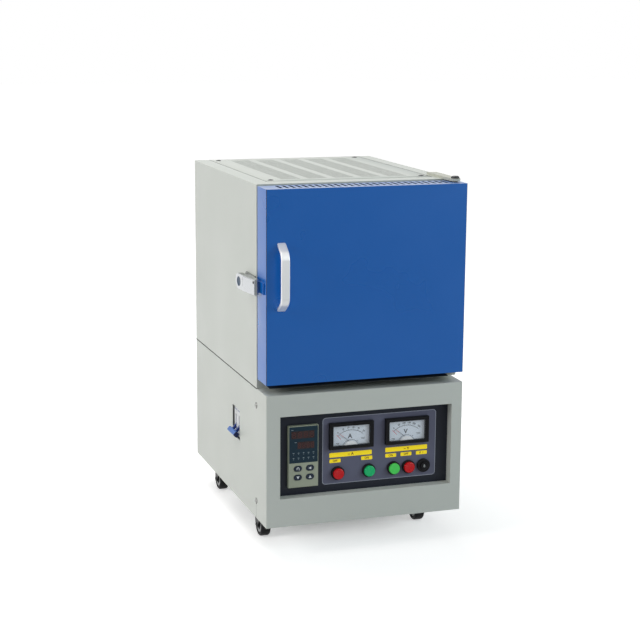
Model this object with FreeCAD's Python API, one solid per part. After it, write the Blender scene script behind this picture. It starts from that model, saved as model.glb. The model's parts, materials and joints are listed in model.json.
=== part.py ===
import FreeCAD, Part
import math
import os

# Bench muffle furnace: a casing with a ceramic-fibre chamber on a control cabinet with casters.
# Millimetres, +Z up, the door faces -Y. The cabinet is drawn from its own bottom left front
# corner, with the underside of the base at z = 0, and moved at the end so that the origin lies
# on the floor under the middle of the outline.

# Cabinet and sheet metal
WIDTH = 320.0
DEPTH = 430.0
BASE_HEIGHT = 208.0
CASING_HEIGHT = 313.0
CASING_SET_BACK = 51.0
SHEET = 1.2
SEAM = 0.4
FIT = 0.05

# Base frame and deck
TRAY_LIP = 18.0
POST_LEG = 16.0
RAIL_HEIGHT = 10.0
RAIL_WIDTH = 20.0

# Fascia and its recessed control panel. The instruments stand in one row, each set off from the
# controller's left side, and the row has the named share of the spare width on its left.
WINDOW_LEFT = 22.0
WINDOW_RIM_RIGHT = 17.5
WINDOW_BOTTOM = 44.5
WINDOW_HEIGHT = 129.5
PANEL_RECESS = 16.0
PANEL_SHEET = 1.5
PANEL_MARGIN = 8.0
SPARE_LEFT_SHARE = 0.353
WING = 60.0

# Temperature controller, a 48 mm wide panel instrument with four keys
CONTROLLER_BOTTOM = 58.0
CONTROLLER_WIDTH = 48.0
CONTROLLER_HEIGHT = 97.5
CONTROLLER_PROUD = 7.0
CONTROLLER_DEPTH = 80.0
CONTROLLER_STEP = 1.8
DISPLAY_BOTTOM = 39.5
DISPLAY_BORDER = 1.8
DISPLAY_SINK = 0.6
KEY_WIDTH = 13.0
KEY_HEIGHT = 9.2
KEY_PITCH_X = 19.6
KEY_PITCH_Z = 14.0
KEYS_LEFT = 15.0
KEYS_BOTTOM = 16.0
KEY_THICK = 3.0
KEY_PROUD = 0.9
KEY_TRAVEL = 0.8

# Two moving-coil panel meters
METER_WIDTH = 72.0
METER_HEIGHT = 42.0
METER_PROUD = 8.0
METER_DEPTH = 34.0
METER_STEP = 4.0
METER_BOTTOM = 112.6
AMMETER_OFFSET = 66.6
VOLTMETER_OFFSET = 158.8
DIAL_WIDTH = 59.5
DIAL_HEIGHT = 31.0
DIAL_LEFT = 5.5
DIAL_BOTTOM = 5.8
DIAL_SINK = 5.8
DIAL_SHEET = 0.8
GLASS = 1.2
NEEDLE_LENGTH = 23.0
NEEDLE_REST = 52.0
NEEDLE_WIDTH = 0.9
NEEDLE_THICK = 0.6
NEEDLE_HUB = 2.6
NEEDLE_PIVOT = 1.0
HUB_COVER = 9.5

# Push buttons and the key switch
BUTTON_Z = 73.5
BUTTON_OFFSETS = (81.5, 132.6, 174.0, 199.0)
KEY_SWITCH_OFFSET = 224.4
BEZEL_D = 21.5
BEZEL_THICK = 4.6
CAP_D = 17.4
CAP_PROUD = 3.9
CAP_SKIRT = 0.8
CAP_CROWN = 0.9
BUTTON_TRAVEL = 3.0
BARREL_D = 16.0
BARREL_LENGTH = 26.0
STEM_D = 8.0
NUT_D = 19.0
NUT_THICK = 5.0
ROTOR_D = 13.0
ROTOR_PROUD = 2.2
KEYHOLE_LENGTH = 7.0
KEYHOLE_WIDTH = 1.6
KEYHOLE_DEEP = 5.0

# Two-pole circuit breaker behind the window in the left side of the base
BREAKER_Y = 170.0
BREAKER_Z = 124.0
POLE_WIDTH = 18.0
BREAKER_HEIGHT = 82.0
NOSE_HEIGHT = 45.0
NOSE_FACE = 2.4
NOSE_DEPTH = 22.0
BREAKER_DEPTH = 44.0
BREAKER_WINDOW_Y = 43.0
BREAKER_WINDOW_Z = 50.0
TOGGLE_PIVOT = 9.0
TOGGLE_REACH = 21.0
TOGGLE_ANGLE = 48.0
TOGGLE_ARM = 4.0
TOGGLE_BAR = 8.0
TOGGLE_BAR_LENGTH = 38.0
TOGGLE_ROOM = 7.0
RAIL_DEEP = 7.5
RAIL_TALL = 35.0

# Power parts on the floor of the base
CORE_WIDTH = 96.0
CORE_DEPTH = 80.0
CORE_HEIGHT = 96.0
CORE_LIMB = 18.0
COIL_HEIGHT = 56.0
TRANSFORMER_LEFT = 150.0
TRANSFORMER_FRONT = 190.0
SINK_WIDTH = 120.0
SINK_DEPTH = 70.0
SINK_HEIGHT = 34.0
SINK_FINS = 9
FIN = 2.0
SINK_BASE = 6.0
MODULE_HEIGHT = 30.0
MODULE_INSET = 10.0
SINK_LEFT = 140.0
SINK_FRONT = 320.0

# Casing, top cover and its punched zones
TOP_FLANGE = 25.0
FRONT_FLANGE = 30.0
LEDGE = 12.0
ZONES = 5
ZONE_WIDTH = 31.0
ZONE_PITCH = 44.0
ZONE_START = 27.0
ZONE_END = 24.0
SLIT = 2.6
SLIT_PITCH = 7.0

# Fibre chamber, hearth, elements and thermocouple
CHAMBER_WIDTH = 120.0
CHAMBER_HEIGHT = 120.0
CHAMBER_DEPTH = 230.0
CHAMBER_BOTTOM = 97.0
ROOF_BOARD = 64.0
REAR_AIR = 57.8
SIDE_AIR = 16.0
HEARTH_WIDTH = 84.0
HEARTH_DEPTH = 190.0
HEARTH_THICK = 8.0
ELEMENT_HOT_D = 6.0
ELEMENT_COLD_D = 12.0
ELEMENT_SPAN = 50.0
ELEMENT_WALL = 13.0
ELEMENT_FOOT = 14.0
ELEMENT_NECK = 8.0
ELEMENT_BEND_STEPS = 5
ELEMENT_TOP = 24.0
ELEMENT_ROWS = (58.0, 158.0)
ELEMENT_CLEAR = 0.6
HOLDER_THICK = 12.0
HOLDER_EDGE = 8.0
STRAP_THICK = 4.0
STRAP_WIDTH = 20.0
STRAP_LIFT = 3.0
COUPLE_D = 8.0
COUPLE_REACH = 30.0
COUPLE_HEAD_D = 30.0
COUPLE_HEAD = 18.0
COUPLE_DROP = 18.0

# Door
DOOR_GAP = 3.0
DOOR_LIFT = 16.0
DOOR_DROP = 2.0
DOOR_EDGE = 3.0
SLOTS = 27
SLOT_PITCH = 10.2
SLOT_WIDTH = 4.6
SLOT_FRONT = 12.0
SLOT_REAR = 6.0
DOOR_BOARD_MARGIN = 42.0
DOOR_BOARD_THICK = 30.0
PLUG_BASE_CLEAR = 1.2
PLUG_TIP_CLEAR = 10.0
PLUG_DEEP = 23.0

# Door pivots on the right
PIVOT_INSET = 12.5
PIVOT_Y = 20.0
PIN_D = 8.0
BOSS_D = 15.0
BOSS_LENGTH = 12.0
ARM_WIDTH = 16.0
ARM_THICK = 4.0
ARM_REAR = 115.0
PIN_HEAD_D = 13.0
PIN_HEAD = 3.5
COLLAR = 2.7

# Bow handle on the door
HANDLE_LEFT = 16.5
HANDLE_WIDTH = 13.4
HANDLE_BOTTOM = 336.0
HANDLE_LENGTH = 104.5
HANDLE_STAND = 23.0
HANDLE_STRIP = 5.0
HANDLE_SLOPE = 16.0
HANDLE_BEND = 8.0

# Latch on the casing's left side and keeper on the door
LATCH_BOTTOM = 358.0
LATCH_TALL = 23.5
LATCH_REAR = 101.0
LATCH_PLATE = 3.0
LATCH_PIVOT_Y = 70.0
LATCH_PIVOT_OUT = 9.5
LATCH_BARREL = 5.6
LATCH_PROUD = 19.0
LATCH_CREST_Y = 58.5
LATCH_CREST_OUT = 16.0
LATCH_NOSE_OUT = 11.0
LATCH_FRONT = 24.0
LATCH_WALL = 2.2
LATCH_PIN_D = 4.0
LATCH_RUN = 0.4
LATCH_EYE_D = 15.0
LATCH_EYE_Y = 87.0
SPRING_HOUSING = 6.0
KEEPER_FRONT = 9.0
KEEPER_REAR = 45.0
KEEPER_PLATE = 2.0
KEEPER_RIDGE_Y = 31.0
KEEPER_RIDGE = 6.0
KEEPER_RIDGE_OUT = 6.4
KEEPER_END = 3.0

# Casters, swivel axis ahead of the wheel
CASTER_HEIGHT = 50.0
WHEEL_D = 38.0
WHEEL_WIDTH = 16.0
WHEEL_EDGE = 2.5
TYRE_THICK = 5.0
WHEEL_SINK = 1.5
TRAIL = 14.0
CASTER_INSET_X = 28.0
CASTER_FRONT = 98.0
CASTER_REAR = 352.0
CASTER_PLATE = 38.0
CASTER_PLATE_THICK = 2.5
RACE_D = 28.0
RACE_GAP = 0.3
RACE_HEIGHT = 4.2
FORK_SHEET = 2.0
FORK_SIDE_GAP = 1.0
FORK_HALF = 12.0
KINGPIN_D = 8.0
AXLE_D = 6.0
PEDAL_LENGTH = 19.0
PEDAL_WIDTH = 13.0
PEDAL_SHEET = 2.0
PEDAL_DROP = 19.0
PEDAL_PIN_Y = 21.0
PEDAL_PIN_DROP = 9.5
PEDAL_PIN_D = 3.0

# Screws and the cable gland
SCREW_D = 4.0
SCREW_HEAD_D = 7.5
SCREW_HEAD = 2.0
SCREW_LENGTH = 9.0
SCREW_Y = 54.0
SCREW_LOW = 28.0
SCREW_HIGH = 181.0
COVER_SCREW_INSET = 8.0
GLAND_X = 252.0
GLAND_Z = 56.0
GLAND_D = 20.0
GLAND_BORE = 11.0
GLAND_HEX = 26.0
GLAND_REACH = 22.0
GLAND_INNER = 8.0
VENTS = 9
VENT_PITCH = 12.0
VENT_WIDTH = 5.0
VENT_HEIGHT = 60.0

# Places worked out from the sizes above
TOP = BASE_HEIGHT + CASING_HEIGHT
PANEL_Y = PANEL_RECESS
WINDOW_RIGHT = WIDTH - WINDOW_RIM_RIGHT
WINDOW_WIDTH = WINDOW_RIGHT - WINDOW_LEFT
CONTROLS_WIDTH = KEY_SWITCH_OFFSET + BEZEL_D / 2
CONTROLLER_LEFT = WINDOW_LEFT + SPARE_LEFT_SHARE * (WINDOW_WIDTH - CONTROLS_WIDTH)
AMMETER_LEFT = CONTROLLER_LEFT + AMMETER_OFFSET
VOLTMETER_LEFT = CONTROLLER_LEFT + VOLTMETER_OFFSET
BUTTON_X = tuple(CONTROLLER_LEFT + offset for offset in BUTTON_OFFSETS)
KEY_SWITCH_X = CONTROLLER_LEFT + KEY_SWITCH_OFFSET
WINDOW_TOP = WINDOW_BOTTOM + WINDOW_HEIGHT
DOOR_BACK = CASING_SET_BACK - DOOR_GAP
DOOR_BOTTOM = BASE_HEIGHT + DOOR_LIFT
DOOR_TOP = TOP - DOOR_DROP
PIVOT_X = WIDTH - PIVOT_INSET
FRONT_FACE = CASING_SET_BACK + SHEET
BLOCK_LEFT = SIDE_AIR
BLOCK_RIGHT = WIDTH - SIDE_AIR
BLOCK_BOTTOM = BASE_HEIGHT + RAIL_HEIGHT
CHAMBER_LEFT = (WIDTH - CHAMBER_WIDTH) / 2
CHAMBER_RIGHT = CHAMBER_LEFT + CHAMBER_WIDTH
CHAMBER_Z = BASE_HEIGHT + CHAMBER_BOTTOM
CHAMBER_TOP = CHAMBER_Z + CHAMBER_HEIGHT
CHAMBER_BACK = FRONT_FACE + CHAMBER_DEPTH
BLOCK_BACK = DEPTH - REAR_AIR
REAR_BOARD = BLOCK_BACK - CHAMBER_BACK
ROOF_TOP = CHAMBER_TOP + ROOF_BOARD
MIDDLE_X = (WIDTH + SCREW_HEAD - LATCH_PROUD) / 2
MIDDLE_Y = (DEPTH + GLAND_REACH - HANDLE_STAND) / 2
FLOOR = FreeCAD.Vector(-MIDDLE_X, -MIDDLE_Y, CASTER_HEIGHT)


def at(x, y, z):
    return FreeCAD.Vector(x, y, z)


def block(x0, x1, y0, y1, z0, z1):
    return Part.makeBox(x1 - x0, y1 - y0, z1 - z0, at(x0, y0, z0))


def rod(diameter, start, end):
    along = end - start
    return Part.makeCylinder(diameter / 2, along.Length, start, along)


def prism(corners, sweep):
    outline = Part.makePolygon(corners + [corners[0]])
    return Part.Face(outline).extrude(sweep)


def side_prism(corners, x0, x1):
    # corners are (y, z) pairs of an outline that is extruded across the cabinet
    return prism([at(x0, y, z) for y, z in corners], at(x1 - x0, 0, 0))


def plan_prism(corners, z0, z1):
    return prism([at(x, y, z0) for x, y in corners], at(0, 0, z1 - z0))


def front_prism(corners, y0, y1):
    return prism([at(x, y0, z) for x, z in corners], at(0, y1 - y0, 0))


def fuse(*shapes):
    whole = shapes[0]
    for shape in shapes[1:]:
        whole = whole.fuse(shape)
    return whole.removeSplitter()


def across(shape):
    # the same shape on the other side of the cabinet
    return shape.mirror(at(WIDTH / 2, 0, 0), at(1, 0, 0))


def upright_edges(shape, x, y):
    # the straight vertical edges of a shape that stand at one place in plan
    found = []
    for edge in shape.Edges:
        ends = [vertex.Point for vertex in edge.Vertexes]
        if all(abs(p.x - x) < 0.01 and abs(p.y - y) < 0.01 for p in ends):
            found.append(edge)
    return found


def save(name, *solids):
    shape = solids[0] if len(solids) == 1 else Part.makeCompound(list(solids))
    shape = shape.copy()
    shape.translate(FLOOR)
    shape.exportStep("parts/" + name + ".step")


def base_frame():
    inner = (SHEET, WIDTH - SHEET, SHEET, DEPTH - SHEET)
    pan = block(*inner, 0, TRAY_LIP)
    pan = pan.cut(block(2 * SHEET, WIDTH - 2 * SHEET, 2 * SHEET, DEPTH - 2 * SHEET, SHEET, TRAY_LIP))
    posts = []
    for y in (WING - POST_LEG / 2, DEPTH - SHEET - POST_LEG):
        for left in (True, False):
            angle = block(SHEET, 2 * SHEET, y, y + POST_LEG, 0, BASE_HEIGHT - SHEET)
            web = block(SHEET, SHEET + POST_LEG, y, y + SHEET, 0, BASE_HEIGHT - SHEET)
            post = angle.fuse(web)
            posts.append(post if left else across(post))
    frame = fuse(pan, *posts, breaker_rail())
    for z in (SCREW_LOW, SCREW_HIGH):
        frame = frame.cut(rod(SCREW_D + 2 * FIT, at(0, SCREW_Y, z), at(WIDTH, SCREW_Y, z)))
    return frame


def breaker_rail():
    # top-hat rail that carries the breaker, on an upright foot from the floor pan
    back = NOSE_FACE + NOSE_DEPTH + BREAKER_DEPTH
    half = POLE_WIDTH + 8
    low = BREAKER_Z - RAIL_TALL / 2
    high = BREAKER_Z + RAIL_TALL / 2
    y0, y1 = BREAKER_Y - half, BREAKER_Y + half
    web = block(back + RAIL_DEEP, back + RAIL_DEEP + SHEET, y0, y1, 0, high)
    lips = [block(back, back + SHEET, y0, y1, z, z + 6) for z in (low, high - 6)]
    steps = [block(back, back + RAIL_DEEP, y0, y1, z, z + SHEET) for z in (low + 6 - SHEET, high - 6)]
    return fuse(web, *lips, *steps)


def base_side(with_window):
    sheet = block(0, SHEET, WING, DEPTH, 0, BASE_HEIGHT)
    if with_window:
        half_y, half_z = BREAKER_WINDOW_Y / 2, BREAKER_WINDOW_Z / 2
        return sheet.cut(block(0, SHEET, BREAKER_Y - half_y, BREAKER_Y + half_y,
                               BREAKER_Z - half_z, BREAKER_Z + half_z))
    return across(sheet)


def base_rear():
    sheet = block(SHEET, WIDTH - SHEET, DEPTH - SHEET, DEPTH, 0, BASE_HEIGHT)
    hole = rod(GLAND_D + 2 * FIT, at(GLAND_X, DEPTH - SHEET, GLAND_Z), at(GLAND_X, DEPTH, GLAND_Z))
    sheet = sheet.cut(hole)
    first = WIDTH / 2 - (VENTS - 1) * VENT_PITCH / 2
    low = BASE_HEIGHT / 2
    for i in range(VENTS):
        x = first + i * VENT_PITCH - VENT_WIDTH / 2
        sheet = sheet.cut(block(x, x + VENT_WIDTH, DEPTH - SHEET, DEPTH, low, low + VENT_HEIGHT))
    return sheet


def base_deck():
    plate = block(SHEET, WIDTH - SHEET, SHEET, DEPTH - SHEET, BASE_HEIGHT - SHEET, BASE_HEIGHT)
    rails = []
    for x in (CHAMBER_LEFT - RAIL_WIDTH, CHAMBER_RIGHT):
        rails.append(block(x, x + RAIL_WIDTH, FRONT_FACE, BLOCK_BACK, BASE_HEIGHT, BLOCK_BOTTOM))
    return fuse(plate, *rails)


def front_fascia():
    shell = block(0, WIDTH, 0, WING, 0, BASE_HEIGHT)
    shell = shell.cut(block(SHEET, WIDTH - SHEET, SHEET, WING, 0, BASE_HEIGHT))
    return_flange = block(WINDOW_LEFT - SHEET, WINDOW_RIGHT + SHEET, SHEET, PANEL_Y,
                          WINDOW_BOTTOM - SHEET, WINDOW_TOP + SHEET)
    opening = block(WINDOW_LEFT, WINDOW_RIGHT, 0, PANEL_Y, WINDOW_BOTTOM, WINDOW_TOP)
    shell = fuse(shell, return_flange).cut(opening)
    for z in (SCREW_LOW, SCREW_HIGH):
        shell = shell.cut(rod(SCREW_D + 2 * FIT, at(0, SCREW_Y, z), at(WIDTH, SCREW_Y, z)))
    corners = upright_edges(shell, 0, 0) + upright_edges(shell, WIDTH, 0)
    return shell.makeFillet(SHEET, corners)


def control_panel():
    plate = block(WINDOW_LEFT - PANEL_MARGIN, WINDOW_RIGHT + PANEL_MARGIN, PANEL_Y, PANEL_Y + PANEL_SHEET,
                  WINDOW_BOTTOM - PANEL_MARGIN, WINDOW_TOP + PANEL_MARGIN)
    back = PANEL_Y + PANEL_SHEET
    plate = plate.cut(controller_neck(PANEL_Y, back, FIT))
    for left in (AMMETER_LEFT, VOLTMETER_LEFT):
        plate = plate.cut(meter_neck(left, PANEL_Y, back, FIT))
    for x in BUTTON_X + (KEY_SWITCH_X,):
        plate = plate.cut(rod(BARREL_D + 2 * FIT, at(x, PANEL_Y, BUTTON_Z), at(x, back, BUTTON_Z)))
    return plate


def controller_neck(y0, y1, clear):
    inset = CONTROLLER_STEP - clear
    return block(CONTROLLER_LEFT + inset, CONTROLLER_LEFT + CONTROLLER_WIDTH - inset, y0, y1,
                 CONTROLLER_BOTTOM + inset, CONTROLLER_BOTTOM + CONTROLLER_HEIGHT - inset)


def key_shape(column, row, y0, y1, clear):
    # an oval key: two half rounds joined by a straight bar
    x = CONTROLLER_LEFT + KEYS_LEFT + column * KEY_PITCH_X
    z = CONTROLLER_BOTTOM + KEYS_BOTTOM + row * KEY_PITCH_Z
    radius = KEY_HEIGHT / 2
    half = KEY_WIDTH / 2 - radius
    bar = block(x - half, x + half, y0, y1, z - radius - clear, z + radius + clear)
    ends = [rod(KEY_HEIGHT + 2 * clear, at(x + s * half, y0, z), at(x + s * half, y1, z)) for s in (-1, 1)]
    return fuse(bar, *ends)


def controller_body():
    front = PANEL_Y - CONTROLLER_PROUD
    bezel = block(CONTROLLER_LEFT, CONTROLLER_LEFT + CONTROLLER_WIDTH, front, PANEL_Y,
                  CONTROLLER_BOTTOM, CONTROLLER_BOTTOM + CONTROLLER_HEIGHT)
    rim = [edge for edge in bezel.Edges if all(abs(v.Point.y - front) < 0.01 for v in edge.Vertexes)]
    bezel = bezel.makeFillet(CONTROLLER_STEP / 2, rim)
    body = fuse(bezel, controller_neck(PANEL_Y, PANEL_Y + CONTROLLER_DEPTH, 0))
    face = block(CONTROLLER_LEFT + DISPLAY_BORDER, CONTROLLER_LEFT + CONTROLLER_WIDTH - DISPLAY_BORDER,
                 front, front + DISPLAY_SINK, CONTROLLER_BOTTOM + DISPLAY_BOTTOM,
                 CONTROLLER_BOTTOM + CONTROLLER_HEIGHT - DISPLAY_BORDER)
    body = body.cut(face)
    pocket = front - KEY_PROUD + KEY_THICK + KEY_TRAVEL + 2 * FIT
    for column in (0, 1):
        for row in (0, 1):
            body = body.cut(key_shape(column, row, front, pocket, 2 * FIT))
    return body


def controller_key(column, row):
    front = PANEL_Y - CONTROLLER_PROUD - KEY_PROUD
    return key_shape(column, row, front, front + KEY_THICK, 0)


def meter_neck(left, y0, y1, clear):
    inset = METER_STEP - clear
    return block(left + inset, left + METER_WIDTH - inset, y0, y1,
                 METER_BOTTOM + inset, METER_BOTTOM + METER_HEIGHT - inset)


def dial_pocket(left, y0, y1):
    return block(left + DIAL_LEFT, left + DIAL_LEFT + DIAL_WIDTH, y0, y1,
                 METER_BOTTOM + DIAL_BOTTOM, METER_BOTTOM + DIAL_BOTTOM + DIAL_HEIGHT)


def meter_case(left):
    front = PANEL_Y - METER_PROUD
    bezel = block(left, left + METER_WIDTH, front, PANEL_Y, METER_BOTTOM, METER_BOTTOM + METER_HEIGHT)
    rim = [edge for edge in bezel.Edges if all(abs(v.Point.y - front) < 0.01 for v in edge.Vertexes)]
    bezel = bezel.makeChamfer(1.2, rim)
    case = fuse(bezel, meter_neck(left, PANEL_Y, PANEL_Y + METER_DEPTH, 0))
    return case.cut(dial_pocket(left, front, front + DIAL_SINK))


def needle_pivot(left):
    return at(left + DIAL_LEFT + DIAL_WIDTH / 2, 0, METER_BOTTOM + DIAL_BOTTOM + NEEDLE_HUB + 1)


def needle_front():
    return PANEL_Y - METER_PROUD + DIAL_SINK - DIAL_SHEET - 2 * NEEDLE_THICK


def meter_dial(left):
    # scale plate with the needle's spindle
    face = PANEL_Y - METER_PROUD + DIAL_SINK - DIAL_SHEET
    plate = dial_pocket(left, face, face + DIAL_SHEET)
    pivot = needle_pivot(left)
    spindle = rod(NEEDLE_PIVOT, at(pivot.x, needle_front() - 0.3, pivot.z), at(pivot.x, face, pivot.z))
    return fuse(plate, spindle)


def hub_cover(left):
    # half-round cover over the needle's hub, standing on the lower edge of the dial pocket
    pivot = needle_pivot(left)
    back = needle_front() - 0.4
    low = METER_BOTTOM + DIAL_BOTTOM
    disc = rod(2 * HUB_COVER, at(pivot.x, back - NEEDLE_THICK, low), at(pivot.x, back, low))
    return disc.common(dial_pocket(left, back - NEEDLE_THICK, back))


def meter_glass(left):
    front = PANEL_Y - METER_PROUD
    return dial_pocket(left, front + 0.3, front + 0.3 + GLASS)


def needle(left):
    # at rest the needle lies on zero, at the left end of its scale
    pivot = needle_pivot(left)
    y0 = needle_front()
    hub = rod(2 * NEEDLE_HUB, at(pivot.x, y0, pivot.z), at(pivot.x, y0 + NEEDLE_THICK, pivot.z))
    blade = front_prism([(pivot.x - NEEDLE_WIDTH / 2, pivot.z), (pivot.x + NEEDLE_WIDTH / 2, pivot.z),
                         (pivot.x + 0.2, pivot.z + NEEDLE_LENGTH), (pivot.x - 0.2, pivot.z + NEEDLE_LENGTH)],
                        y0, y0 + NEEDLE_THICK)
    whole = fuse(hub, blade)
    whole.rotate(pivot, at(0, 1, 0), -NEEDLE_REST)
    return whole.cut(rod(NEEDLE_PIVOT + 2 * FIT, at(pivot.x, y0 - 1, pivot.z), at(pivot.x, y0 + 2, pivot.z)))


def switch_body(x, bore_d, bore_sink):
    # threaded barrel through the panel, its bezel in front and its nut behind
    front = PANEL_Y - BEZEL_THICK
    back = PANEL_Y + BARREL_LENGTH
    nut = PANEL_Y + PANEL_SHEET
    bezel = rod(BEZEL_D, at(x, front, BUTTON_Z), at(x, PANEL_Y, BUTTON_Z))
    rim = [edge for edge in bezel.Edges if edge.Closed and abs(edge.Vertexes[0].Point.y - front) < 0.01]
    bezel = bezel.makeChamfer(0.9, rim)
    body = fuse(bezel, rod(BARREL_D, at(x, PANEL_Y, BUTTON_Z), at(x, back, BUTTON_Z)),
                rod(NUT_D, at(x, nut, BUTTON_Z), at(x, nut + NUT_THICK, BUTTON_Z)))
    recess = rod(bore_d + 4 * FIT, at(x, front, BUTTON_Z), at(x, front + bore_sink, BUTTON_Z))
    stem = rod(STEM_D + 2 * FIT, at(x, front, BUTTON_Z), at(x, back, BUTTON_Z))
    return body.cut(recess).cut(stem)


def button_sink():
    return CAP_SKIRT + BUTTON_TRAVEL + 2 * FIT


def push_button(x):
    rim = PANEL_Y - BEZEL_THICK
    front = rim - CAP_PROUD
    cap = rod(CAP_D, at(x, front, BUTTON_Z), at(x, rim + CAP_SKIRT, BUTTON_Z))
    crown = [edge for edge in cap.Edges if edge.Closed and abs(edge.Vertexes[0].Point.y - front) < 0.01]
    cap = cap.makeChamfer(CAP_CROWN, crown)
    return fuse(cap, rod(STEM_D, at(x, rim, BUTTON_Z), at(x, PANEL_Y + BARREL_LENGTH, BUTTON_Z)))


def key_rotor():
    rim = PANEL_Y - BEZEL_THICK
    front = rim - ROTOR_PROUD
    x = KEY_SWITCH_X
    face = rod(ROTOR_D, at(x, front, BUTTON_Z), at(x, rim + CAP_SKIRT, BUTTON_Z))
    shaft = rod(STEM_D, at(x, rim, BUTTON_Z), at(x, PANEL_Y + BARREL_LENGTH, BUTTON_Z))
    slot = block(x - KEYHOLE_WIDTH / 2, x + KEYHOLE_WIDTH / 2, front, front + KEYHOLE_DEEP,
                 BUTTON_Z - KEYHOLE_LENGTH / 2, BUTTON_Z + KEYHOLE_LENGTH / 2)
    return fuse(face, shaft).cut(slot)


def arm_places():
    return [BREAKER_Y - POLE_WIDTH / 2, BREAKER_Y + POLE_WIDTH / 2]


def circuit_breaker():
    poles = []
    for y in arm_places():
        y0, y1 = y - POLE_WIDTH / 2, y + POLE_WIDTH / 2
        neck = NOSE_FACE + NOSE_DEPTH
        nose = block(NOSE_FACE, neck, y0, y1, BREAKER_Z - NOSE_HEIGHT / 2, BREAKER_Z + NOSE_HEIGHT / 2)
        body = block(neck, neck + BREAKER_DEPTH, y0, y1,
                     BREAKER_Z - BREAKER_HEIGHT / 2, BREAKER_Z + BREAKER_HEIGHT / 2)
        half = TOGGLE_ARM / 2 + 4 * FIT
        slot = rod(2 * (TOGGLE_PIVOT - NOSE_FACE + TOGGLE_ROOM), at(TOGGLE_PIVOT, y - half, BREAKER_Z),
                   at(TOGGLE_PIVOT, y + half, BREAKER_Z))
        pin = rod(LATCH_PIN_D, at(TOGGLE_PIVOT, y - half, BREAKER_Z), at(TOGGLE_PIVOT, y + half, BREAKER_Z))
        poles.append(fuse(fuse(nose, body).cut(slot), pin))
    return poles


def breaker_toggle():
    # two arms on one bar, at rest in the lower position, which is off
    parts = []
    centre = at(TOGGLE_PIVOT, BREAKER_Y, BREAKER_Z)
    reach = TOGGLE_PIVOT - TOGGLE_REACH
    for y in arm_places():
        half = TOGGLE_ARM / 2
        y0, y1 = y - half, y + half
        parts.append(block(reach, TOGGLE_PIVOT, y0, y1, BREAKER_Z - half, BREAKER_Z + half))
        hub = rod(2 * TOGGLE_ARM + 2, at(TOGGLE_PIVOT, y0, BREAKER_Z), at(TOGGLE_PIVOT, y1, BREAKER_Z))
        parts.append(hub)
    half = TOGGLE_BAR_LENGTH / 2
    bar = block(reach - TOGGLE_BAR / 2, reach + TOGGLE_BAR / 2, BREAKER_Y - half, BREAKER_Y + half,
                BREAKER_Z - TOGGLE_BAR / 2, BREAKER_Z + TOGGLE_BAR / 2)
    long_edges = [edge for edge in bar.Edges if abs(edge.Length - TOGGLE_BAR_LENGTH) < 0.01]
    whole = fuse(*parts, bar.makeFillet(TOGGLE_BAR / 4, long_edges))
    whole.rotate(centre, at(0, 1, 0), -TOGGLE_ANGLE)
    for y in arm_places():
        whole = whole.cut(rod(LATCH_PIN_D + 2 * FIT, at(TOGGLE_PIVOT, y - TOGGLE_ARM, BREAKER_Z),
                              at(TOGGLE_PIVOT, y + TOGGLE_ARM, BREAKER_Z)))
    return whole


def transformer():
    x, y, z = TRANSFORMER_LEFT, TRANSFORMER_FRONT, SHEET
    core = block(x, x + CORE_WIDTH, y + CORE_LIMB, y + CORE_DEPTH - CORE_LIMB, z, z + CORE_HEIGHT)
    low = z + (CORE_HEIGHT - COIL_HEIGHT) / 2
    middle = x + CORE_WIDTH / 2
    for side in (-1, 1):
        window = middle + side * CORE_LIMB
        core = core.cut(block(min(window - CORE_LIMB / 2, window + CORE_LIMB / 2),
                              max(window - CORE_LIMB / 2, window + CORE_LIMB / 2),
                              y, y + CORE_DEPTH, low, low + COIL_HEIGHT))
    reach = CORE_LIMB * 1.5
    coil = block(middle - reach, middle + reach, y, y + CORE_DEPTH, low, low + COIL_HEIGHT)
    limb = block(middle - CORE_LIMB / 2, middle + CORE_LIMB / 2, y, y + CORE_DEPTH, low, low + COIL_HEIGHT)
    return [core, coil.cut(limb.common(core)).cut(core)]


def power_controller():
    # heat sink with upright fins, and the power module on its back
    x, y, z = SINK_LEFT, SINK_FRONT, SHEET
    plate = block(x, x + SINK_WIDTH, y, y + SINK_DEPTH, z + SINK_HEIGHT - SINK_BASE, z + SINK_HEIGHT)
    pitch = (SINK_WIDTH - FIN) / (SINK_FINS - 1)
    fins = []
    for i in range(SINK_FINS):
        left = x + i * pitch
        fins.append(block(left, left + FIN, y, y + SINK_DEPTH, z, z + SINK_HEIGHT - SINK_BASE))
    near, far = y + MODULE_INSET, y + SINK_DEPTH - MODULE_INSET
    module = block(x + SINK_WIDTH / 4, x + SINK_WIDTH * 3 / 4, near, far,
                   z + SINK_HEIGHT, z + SINK_HEIGHT + MODULE_HEIGHT)
    return [fuse(plate, *fins), module]


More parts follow.
